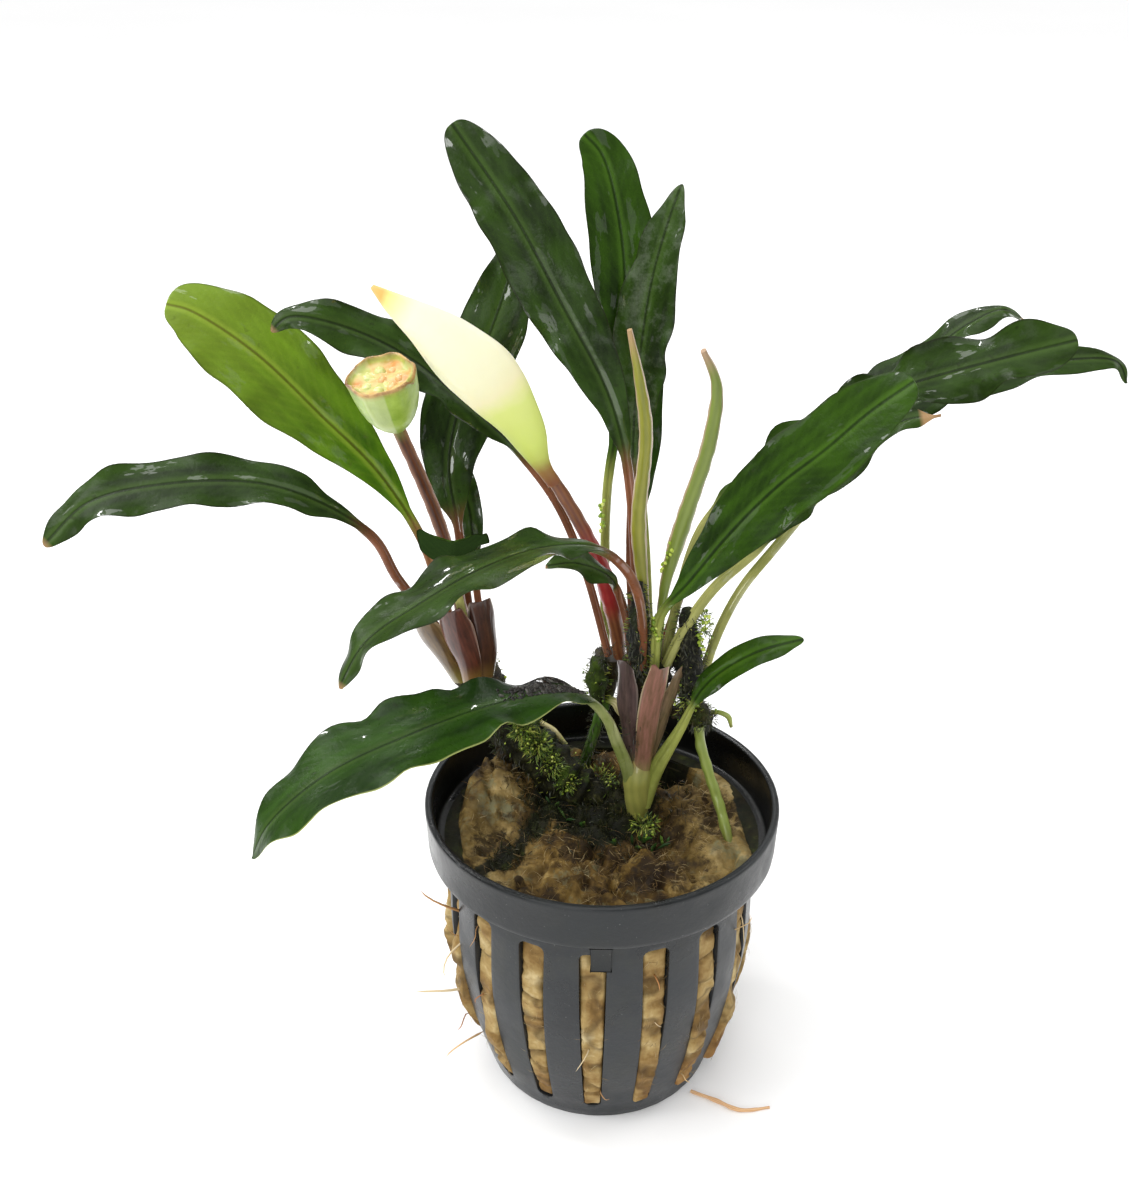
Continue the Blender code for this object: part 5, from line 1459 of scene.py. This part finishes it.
def build_sheaths(settings):
    """Papery old leaf sheaths that open like a funnel round the stems, torn at their upper ends."""
    looks = {"sheath_left_outer": ("#745a30", "#3a2814", "#a8926c", "#7c7030"),
             "sheath_left_middle": ("#663424", "#2c140c", "#a07c62", "#8a6a30"),
             "sheath_left_right": ("#54301f", "#21100a", "#c9bdac", "#6e5428"),
             "sheath_front_left": ("#5e4a47", "#241917", "#8c8078", "#99a256"),
             "sheath_front_middle": ("#9f6c60", "#57462c", "#c9bc94", "#a9ae62"),
             "sheath_front_right": ("#8d7258", "#4f472a", "#b3a684", "#8f984e")}
    for index, (name, (light, dark, rim, foot)) in enumerate(looks.items()):
        route, width, facing = SHEATHS[name]
        material = striped_material(name.replace("_", " ") + " fibre", light, dark, foot, rim, rim_from=0.78,
                                    spacing=0.45, roughness=0.4, coat=1.0, contrast=1.3, stripes=0.05,
                                    streaks=0.85)
        half = [(0.0, width * 0.4), (0.35, width * 0.54), (0.75, width * 0.64), (1.0, width * 0.52)]
        skin = shell_skin(route, lambda share: smooth_profile_at(half, share),
                          lambda share: mix(95.0, 55.0, share), facing, 0.32, 40, 56, 40.0 + index,
                          squash=0.75, ragged=2.4, wave=0.3,
                          blush_at=lambda share: 0.85 * smooth_step((0.3 - share) / 0.3))
        add_piece(name + "_paper", skin, material, (name,), sharp=60.0)


def build_flower_hood(settings):
    """The pale hood with its back to the camera, on its red stalk, which goes on into the hood's foot."""
    profile = [(share, half) for share, half, turn in SPATHE_SHAPE]
    opening = [(share, turn) for share, half, turn in SPATHE_SHAPE]
    skin = shell_skin(SPATHE_ROUTE, lambda share: smooth_profile_at(profile, share),
                      lambda share: smooth_profile_at(opening, share), SPATHE_BACK, 0.55, 72, 96, 50.0,
                      squash=0.7, wave=0.22)
    add_piece("spathe_hood", skin, spathe_material(), ("spathe",), sharp=70.0)
    material = striped_material("crimson flower stalk", "#8a5a38", "#5a2c1c", "#981c26", spacing=0.8,
                                contrast=0.8)
    add_tube("spathe_stalk_skin", TUBES["spathe_stalk"], (28, 100), 51.0, material, "stalk_red",
             ("spathe_stalk",), blush_at=lambda share: 0.8 * smooth_step((share - 0.2) / 0.15)
             * smooth_step((0.75 - share) / 0.2))


def build_flower_cup(settings):
    """The cut cup of an old flower on its stalk, with its ring of seeds."""
    foot = Vector(CUP_FOOT)
    axis = Vector(CUP_MOUTH) - foot
    side, up = across(axis.normalized(), Vector((0.0, -1.0, 0.0)))

    def place(around, row):
        share, radius, rim, inside = CUP_PROFILE[row]
        turn = math.tau * around
        facet = 1.0 + 0.035 * math.cos(6.0 * turn + 0.6) * smooth_step(share)
        facet += 0.02 * wander(turn, share * 2, 0.0)
        tear = 0.0
        if rim > 0.1:
            tear = 0.011 * wander(math.cos(turn) * 3.0, math.sin(turn) * 3.0, 0.0, 6.0)
            tear -= CUP_NOTCH_DEPTH * math.exp(-((turn - CUP_NOTCH_TURN) / 0.22) ** 2)
            tear *= rim
            radius += 0.1 * rim * wander(math.cos(turn) * 4.0, math.sin(turn) * 4.0, share, 9.0)
        if inside > 0.5:
            x, y = radius * math.cos(turn) / 1.6, radius * math.sin(turn) / 1.6
            tear = 0.02 * inside * wander(x, y, 0.0, 12.0) + 0.014 * math.cos(SEEDS * turn) * radius / 3.0
        spot = foot + axis * (share + tear) + (side * math.cos(turn) + up * math.sin(turn)) * radius * facet
        return spot, (turn, share, 0.0), (0.0, rim, inside)

    skin = wrapped_skin(72, len(CUP_PROFILE) - 1, place)
    add_piece("flower_cup_wall", skin, cup_material(), ("flower_cup",), sharp=60.0)
    # The paler rim is painted as a highlight over the stalk's sides seen from the camera
    material = striped_material("brown flower stalk", "#6a3c20", "#3a1a0c", "#7c8a3c", "#94603a",
                                rim_from=0.4, coat=0.15, spacing=0.7)
    add_tube("cup_stalk_skin", TUBES["cup_stalk"], (28, 90), 52.0, material, "stalk_red", ("cup_stalk",),
             blush_at=lambda share: 0.7 * smooth_step((share - 0.93) / 0.07))
    pale = seed_material("pale green seed", "#dcdc9c", "#bcc674")
    tan = seed_material("tan seed", "#e6bb7c", "#cf9a58")
    chance = random.Random(7)
    for index in range(SEEDS + 1):
        turn = math.tau * index / SEEDS
        reach = SEED_RING if index < SEEDS else 0.0
        centre = foot + axis * SEED_LEVEL + (side * math.cos(turn) + up * math.sin(turn)) * reach
        bm = bmesh.new()
        bmesh.ops.create_icosphere(bm, subdivisions=3, radius=SEED_RADIUS)
        lean = scatter(chance).normalized()
        for vert in bm.verts:
            stretch = lean * vert.co.dot(lean) * 0.12
            lump = 1.0 + 0.05 * wander(*(vert.co * 1.4), 60.0 + index)
            vert.co = (centre + (vert.co + stretch) * lump) * MM
        name = "seed_%d" % (index + 1)
        add_piece(name + "_coat", bm, tan if index in TAN_SEEDS else pale,
                  (name,))


def build_roots(settings):
    """The roots that leave the stems, and the thin one that fell beside the pot."""
    looks = {"root_long": ("#98a650", "#76863a", "#4a3a1c", "root_green", 0.1),
             "root_curled": ("#a2ae54", "#7c883a", "#6b5a2c", "root_green", 0.12),
             "root_cream": ("#dccf9c", "#a8a05c", "#7f8c3c", "root_cream", 0.1)}
    for index, (name, (light, dark, blush, slot, lumps)) in enumerate(looks.items()):
        material = striped_material(name.replace("_", " "), light, dark, blush, spacing=1.1, contrast=0.6)
        add_tube(name + "_skin", TUBES[name], (24, 60), 70.0 + index, material, slot, (name,), lumps=lumps,
                 blush_at=lambda share: 0.6 * smooth_step((share - 0.75) / 0.25))
    material = striped_material("dry brown root", "#eac498", "#c8986a", "#b88c60", spacing=0.3,
                                roughness=0.75, coat=0.0)
    add_tube("fallen_root_skin", FALLEN_ROOT, (18, 60), 75.0, material, "root_brown", ("fallen_root",),
             lumps=0.2)


def hair(points, thickness):
    """A thin root hair through a few points, tapering to both ends."""
    shares = [i / HAIR_STEPS for i in range(HAIR_STEPS + 1)]
    return [(spot, 0.0 if i in (0, HAIR_STEPS) else thickness * (1.0 - 0.08 * i))
            for i, (spot, direction, length) in enumerate(stations(points, shares))]


def build_root_hairs(settings):
    """Orange and cream root hairs that have grown out through the slots."""
    chance = random.Random(23)
    paths = [hair(points, thickness) for points, thickness in ROOT_HAIRS]
    while len(paths) < len(ROOT_HAIRS) + settings.root_hair_count:
        root, outward = side_root(chance)
        way = (UP * chance.choice((-1.0, -1.0, 1.0)) + outward * chance.uniform(0.2, 0.9)
               + outward.cross(UP) * chance.gauss(0, 0.5)).normalized()
        length = chance.uniform(1.5, 5.0)
        bend = scatter(chance, z=0.6) * 0.22 * length
        points = (root - outward * 0.4, root + outward * 0.35, root + way * length * 0.5 + outward * 0.4,
                  root + way * length + bend)
        paths.append(hair(points, chance.uniform(0.06, 0.13)))
    material = thread_material("orange root hair", ("#8a4a16", "#b8702a", "#d9b47a", "#e6d6b0"), 0.5)
    add_piece("root_hairs", strands(paths, sides=5, seed=9), material)


def clump_threads(clumps, chance, droop=0.0):
    """Threads that grow outwards from soft clumps: (centre, half sizes, count, length, thickness)."""
    paths = []
    for centre, spread, count, length, thickness in clumps:
        for _ in range(count):
            away = scatter(chance).normalized()
            part = chance.random() ** 0.45
            root = Vector(centre) + Vector(away[i] * spread[i] * part for i in range(3))
            jitter = Vector((chance.gauss(0, 0.5), chance.gauss(0, 0.5), chance.gauss(0, 0.5) - droop))
            along = (away + jitter).normalized()
            reach = chance.uniform(0.5, 1.0) * length
            outward = along.cross(scatter(chance)).normalized()
            paths.append(lying_thread(root, along, outward, reach, 0.3 * reach,
                                      thickness * chance.uniform(0.7, 1.3), chance))
    return paths


def stem_roots(stem, count, chance):
    """Places on a stem's skin, each with its way out."""
    route, radii = stem
    shares = sorted(chance.uniform(0.0, 1.0) for _ in range(count))
    profile = radius_profile(radii)
    roots = []
    for share, (point, direction, length) in zip(shares, stations(route, shares)):
        side, up = across(direction, Vector(TUBE_FACING))
        turn = chance.uniform(0.0, math.tau)
        outward = side * math.cos(turn) + up * math.sin(turn)
        roots.append((point + outward * profile(share), outward))
    return roots


def build_algae(settings):
    """Black-green thread algae on the stems, the crown and the wool."""
    chance = random.Random(31)
    paths = clump_threads(ALGAE_CLUMPS, chance, droop=0.3)
    for stem in (*STEMS.values(), *MATS.values()):
        count = ALGAE_ON_LONG if len(stem[0]) > 3 else ALGAE_ON_SHORT
        for root, outward in stem_roots(stem, count, chance):
            hanging = Vector((chance.gauss(0, 0.6), chance.gauss(0, 0.6), -0.7))
            along = (outward * 0.5 + hanging).normalized()
            paths.append(lying_thread(root, along, outward, chance.uniform(0.5, 1.5), 0.2,
                                      chance.uniform(0.035, 0.07), chance))
    while len(paths) < settings.algae_count:
        root = top_root(chance, 19.5)
        if chance.random() > algae_at(root.x, root.y):
            continue
        along = Vector((chance.gauss(0, 1), chance.gauss(0, 1), chance.uniform(0.1, 1.2))).normalized()
        paths.append(lying_thread(root, along, UP, chance.uniform(0.5, 1.6), 0.3,
                                  chance.uniform(0.035, 0.08), chance))
    material = thread_material("black thread algae", ("#0b0d07", "#191e0d", "#2a3214", "#46401f"), 0.45)
    add_piece("thread_algae", strands(paths, sides=3, seed=3), material)


def build_crumbs(settings):
    """Black crumbs of peat and algae on the base of the low front leaf."""
    chance = random.Random(61)
    spec = LEAVES["leaf_low_front"]
    alongs = sorted(chance.triangular(0.08, 0.34, 0.2) for _ in range(settings.crumb_count))
    grains = []
    places = stations(spec["route"], [mix(spec["blade"], 1.0, along) for along in alongs])
    for along, (point, direction, length) in zip(alongs, places):
        side, up = across(direction, blade_facing(spec, along))
        reach = blade_half(spec, along) * chance.uniform(-0.05, 0.5)
        centre = point + side * reach + up * (0.2 + spec["fold"] * reach)
        size = chance.uniform(0.12, 0.36)
        lean = (side * chance.gauss(0, 1) + direction * chance.gauss(0, 1)).normalized()
        lean = lean * size * chance.uniform(1, 2)
        grains.append(grain(centre, lean, 0.5, size * 0.8, size * 0.7))
    material = thread_material("black peat crumb", ("#0a0906", "#13120e", "#23211c", "#5f5d57"), 0.45)
    add_piece("leaf_crumbs", strands(grains, sides=5, seed=29), material, sharp=60.0)


def bead(centre, size, chance):
    """A round bud that points any way."""
    return grain(centre, scatter(chance).normalized() * size, 0.55, size * 0.85, size * 0.85)


def build_moss(settings):
    """Bright green moss: soft threads, with bead-like buds on their ends."""
    chance = random.Random(47)
    paths = clump_threads(MOSS_CLUMPS, chance)
    for stem in (STEMS["rhizome_left"], STEMS["rhizome_front"], *MATS.values()):
        for root, outward in stem_roots(stem, MOSS_ON_STEM, chance):
            rising = Vector((chance.gauss(0, 0.5), chance.gauss(0, 0.5), 0.4))
            along = (outward + rising).normalized()
            paths.append(lying_thread(root, along, outward, chance.uniform(0.5, 1.3), 0.2,
                                      chance.uniform(0.045, 0.085), chance))
    while len(paths) < settings.moss_count:
        root = top_root(chance, 19.0)
        patch = wander(root.x / 4.5, root.y / 4.5, 0.0, 8.0)
        if chance.random() > algae_at(root.x, root.y) * smooth_step((patch + 0.05) / 0.5):
            continue
        along = lean_out(chance, 0.7, 1.0)
        paths.append(lying_thread(root, along, UP, chance.uniform(0.5, 1.8), 0.3,
                                  chance.uniform(0.05, 0.1), chance))
    material = thread_material("green moss", ("#26360f", "#4a641c", "#7c9430", "#b0b04c"), 0.6)
    add_piece("moss_threads", strands(paths, sides=3, seed=13), material)
    beads = [bead(path[2][0], chance.uniform(0.14, 0.26), chance)
             for path in chance.sample(paths, min(len(paths), settings.bead_count))]
    for start, end, count in BEAD_CHAINS:
        for i in range(count):
            centre = Vector(start).lerp(Vector(end), i / (count - 1)) + scatter(chance, 0.25, 0.25, 0.3)
            beads.append(bead(centre, chance.uniform(0.22, 0.36), chance))
    material = thread_material("bead moss", ("#5c7a18", "#8aa42a", "#b2c644", "#ccd474"), 0.4, foot_darkening=0.1)
    add_piece("bead_moss", strands(beads, sides=6, seed=17), material, sharp=80.0)
    shoots = []
    for root, height in SHOOTS:
        for _ in range(3):
            lean = Vector((chance.gauss(0, 0.35), chance.gauss(0, 0.35) - 0.15, 1.0)).normalized()
            foot = Vector(root) + Vector((chance.gauss(0, 0.3), chance.gauss(0, 0.3), 0.0))
            foot.z = wool_top(foot.x, foot.y) - 0.4
            tall = height * chance.uniform(0.55, 1.0)
            droop = Vector((lean.x, lean.y, 0.0)) * tall * 0.5
            shoots.append([(foot, 0.0), (foot + lean * tall * 0.3, 0.22),
                           (foot + lean * tall * 0.75 + droop * 0.3, 0.26),
                           (foot + lean * tall + droop, 0.0)])
    material = thread_material("young green shoot", ("#20381a", "#355c20", "#6a8c38"), 0.4)
    add_piece("young_shoots", strands(shoots, sides=6, seed=19), material)


def build_stage(settings):
    """White floor, soft boxes and the camera at the photo's angle."""
    bm = bmesh.new()
    bmesh.ops.create_circle(bm, cap_ends=True, cap_tris=False, segments=96, radius=FLOOR_RADIUS)
    mesh = bpy.data.meshes.new("floor")
    bm.to_mesh(mesh)
    bm.free()
    mesh.materials.append(floor_material())
    add_object("floor", mesh)
    for name, place, aim, size, power in SOFT_BOXES:
        light = bpy.data.lights.new(name, "AREA")
        light.shape = "RECTANGLE"
        light.size, light.size_y = size
        light.energy = power * settings.light_strength
        lamp = add_object(name, light)
        lamp.location = place
        lamp.rotation_euler = (Vector(aim) - Vector(place)).to_track_quat("-Z", "Y").to_euler()
    sky = bpy.data.lights.new("overhead light", "SUN")
    sky.energy = SKY_STRENGTH * settings.light_strength
    sky.angle = math.radians(SKY_ANGLE)
    lamp = add_object("overhead light", sky)
    lamp.rotation_euler = (-Vector(SKY_FROM)).to_track_quat("-Z", "Y").to_euler()
    world = bpy.data.worlds.new("pale studio")
    world.use_nodes = True
    background = world.node_tree.nodes["Background"]
    background.inputs["Color"].default_value = linear("#ffffff")
    background.inputs["Strength"].default_value = WORLD_STRENGTH
    bpy.context.scene.world = world
    bpy.context.scene.view_settings.view_transform = "Standard"
    lens = bpy.data.cameras.new("camera")
    lens.sensor_width = SENSOR_SIZE
    lens.lens = SENSOR_SIZE * CAMERA_FOCUS / PICTURE_HEIGHT
    lens.clip_start = 0.01
    lens.clip_end = 20.0
    camera = add_object("camera", lens)
    camera.location = Vector(CAMERA_PLACE) * MM
    camera.rotation_euler = (math.radians(90.0 - CAMERA_DIP), 0.0, 0.0)
    bpy.context.scene.camera = camera


class PottedPlantSettings(bpy.types.PropertyGroup):
    """Counts and light that a user may want to change."""
    fibre_count: bpy.props.IntProperty(
        name="Wool fibres", description="How many loose fibres lie on the rock wool", default=1800,
        min=0, max=12000)
    root_hair_count: bpy.props.IntProperty(
        name="Root hairs", description="How many root hairs leave the slots", default=16, min=0, max=400)
    algae_count: bpy.props.IntProperty(
        name="Algae threads", description="How many dark threads grow on stems and wool", default=6200,
        min=0, max=12000)
    moss_count: bpy.props.IntProperty(
        name="Moss threads", description="How many green moss threads grow", default=1800, min=0, max=9000)
    bead_count: bpy.props.IntProperty(
        name="Moss beads", description="How many moss threads carry a bead", default=260, min=0, max=3000)
    crumb_count: bpy.props.IntProperty(
        name="Crumbs", description="How many black crumbs lie on the low front leaf", default=420,
        min=0, max=2000)
    light_strength: bpy.props.FloatProperty(
        name="Light strength", description="Strength of the soft boxes", default=1.0, min=0.0, max=10.0,
        subtype="FACTOR")


class PlantOperator:
    """What every build step shares: it runs one build function with the scene's settings."""
    bl_options = {"REGISTER", "UNDO"}
    build = None

    def execute(self, context):
        type(self).build(context.scene.potted_plant)
        return {"FINISHED"}


class PLANT_OT_net_pot(PlantOperator, bpy.types.Operator):
    """Model the slotted net pot"""
    bl_idname = "plant.net_pot"
    bl_label = "Net pot"
    build = staticmethod(build_pot)


class PLANT_OT_wool(PlantOperator, bpy.types.Operator):
    """Model the rock wool plug"""
    bl_idname = "plant.wool"
    bl_label = "Rock wool"
    build = staticmethod(build_wool)


class PLANT_OT_fibres(PlantOperator, bpy.types.Operator):
    """Lay loose fibres on the rock wool"""
    bl_idname = "plant.fibres"
    bl_label = "Wool fibres"
    build = staticmethod(build_fibres)


class PLANT_OT_stems(PlantOperator, bpy.types.Operator):
    """Model the creeping stems"""
    bl_idname = "plant.stems"
    bl_label = "Creeping stems"
    build = staticmethod(build_stems)


class PLANT_OT_sheaths(PlantOperator, bpy.types.Operator):
    """Model the papery old leaf sheaths"""
    bl_idname = "plant.sheaths"
    bl_label = "Old sheaths"
    build = staticmethod(build_sheaths)


class PLANT_OT_leaves(PlantOperator, bpy.types.Operator):
    """Model every open leaf on its stalk"""
    bl_idname = "plant.leaves"
    bl_label = "Leaves"
    build = staticmethod(build_leaves)


class PLANT_OT_rolled_leaves(PlantOperator, bpy.types.Operator):
    """Model the two young rolled leaves"""
    bl_idname = "plant.rolled_leaves"
    bl_label = "Rolled leaves"
    build = staticmethod(build_rolled_leaves)


class PLANT_OT_flower_hood(PlantOperator, bpy.types.Operator):
    """Model the pale flower hood and its stalk"""
    bl_idname = "plant.flower_hood"
    bl_label = "Flower hood"
    build = staticmethod(build_flower_hood)


class PLANT_OT_flower_cup(PlantOperator, bpy.types.Operator):
    """Model the cut flower cup, its stalk and its seeds"""
    bl_idname = "plant.flower_cup"
    bl_label = "Flower cup"
    build = staticmethod(build_flower_cup)


class PLANT_OT_roots(PlantOperator, bpy.types.Operator):
    """Model the thick roots and the fallen one"""
    bl_idname = "plant.roots"
    bl_label = "Roots"
    build = staticmethod(build_roots)


class PLANT_OT_root_hairs(PlantOperator, bpy.types.Operator):
    """Grow thin root hairs through the slots"""
    bl_idname = "plant.root_hairs"
    bl_label = "Root hairs"
    build = staticmethod(build_root_hairs)


class PLANT_OT_algae(PlantOperator, bpy.types.Operator):
    """Grow dark thread algae on stems and wool"""
    bl_idname = "plant.algae"
    bl_label = "Thread algae"
    build = staticmethod(build_algae)


class PLANT_OT_crumbs(PlantOperator, bpy.types.Operator):
    """Scatter black crumbs on the base of the low front leaf"""
    bl_idname = "plant.crumbs"
    bl_label = "Crumbs"
    build = staticmethod(build_crumbs)


class PLANT_OT_moss(PlantOperator, bpy.types.Operator):
    """Grow green moss, its beads and the young shoots"""
    bl_idname = "plant.moss"
    bl_label = "Moss"
    build = staticmethod(build_moss)


class PLANT_OT_stage(PlantOperator, bpy.types.Operator):
    """Set up the white floor, the soft light and the camera"""
    bl_idname = "plant.stage"
    bl_label = "Stage"
    build = staticmethod(build_stage)


STEPS = (PLANT_OT_net_pot, PLANT_OT_wool, PLANT_OT_fibres, PLANT_OT_stems, PLANT_OT_sheaths, PLANT_OT_leaves,
         PLANT_OT_rolled_leaves, PLANT_OT_flower_hood, PLANT_OT_flower_cup, PLANT_OT_roots,
         PLANT_OT_root_hairs, PLANT_OT_algae, PLANT_OT_crumbs, PLANT_OT_moss, PLANT_OT_stage)


class PLANT_PT_steps(bpy.types.Panel):
    """The build steps and their settings, in the sidebar"""
    bl_idname = "PLANT_PT_steps"
    bl_label = "Potted plant"
    bl_space_type = "VIEW_3D"
    bl_region_type = "UI"
    bl_category = "Potted plant"

    def draw(self, context):
        for name in PottedPlantSettings.__annotations__:
            self.layout.prop(context.scene.potted_plant, name)
        for step in STEPS:
            self.layout.operator(step.bl_idname)


def register():
    """Register the settings, the operators and the panel."""
    for item in (PottedPlantSettings, *STEPS, PLANT_PT_steps):
        bpy.utils.register_class(item)
    bpy.types.Scene.potted_plant = bpy.props.PointerProperty(type=PottedPlantSettings)


def unregister():
    """Take the panel, the operators and the settings out again."""
    del bpy.types.Scene.potted_plant
    for item in (PLANT_PT_steps, *reversed(STEPS), PottedPlantSettings):
        bpy.utils.unregister_class(item)


def main():
    """Build the whole plant."""
    register()
    for step in STEPS:
        getattr(bpy.ops.plant, step.bl_idname.split(".")[1])()


if __name__ == "__main__":
    main()
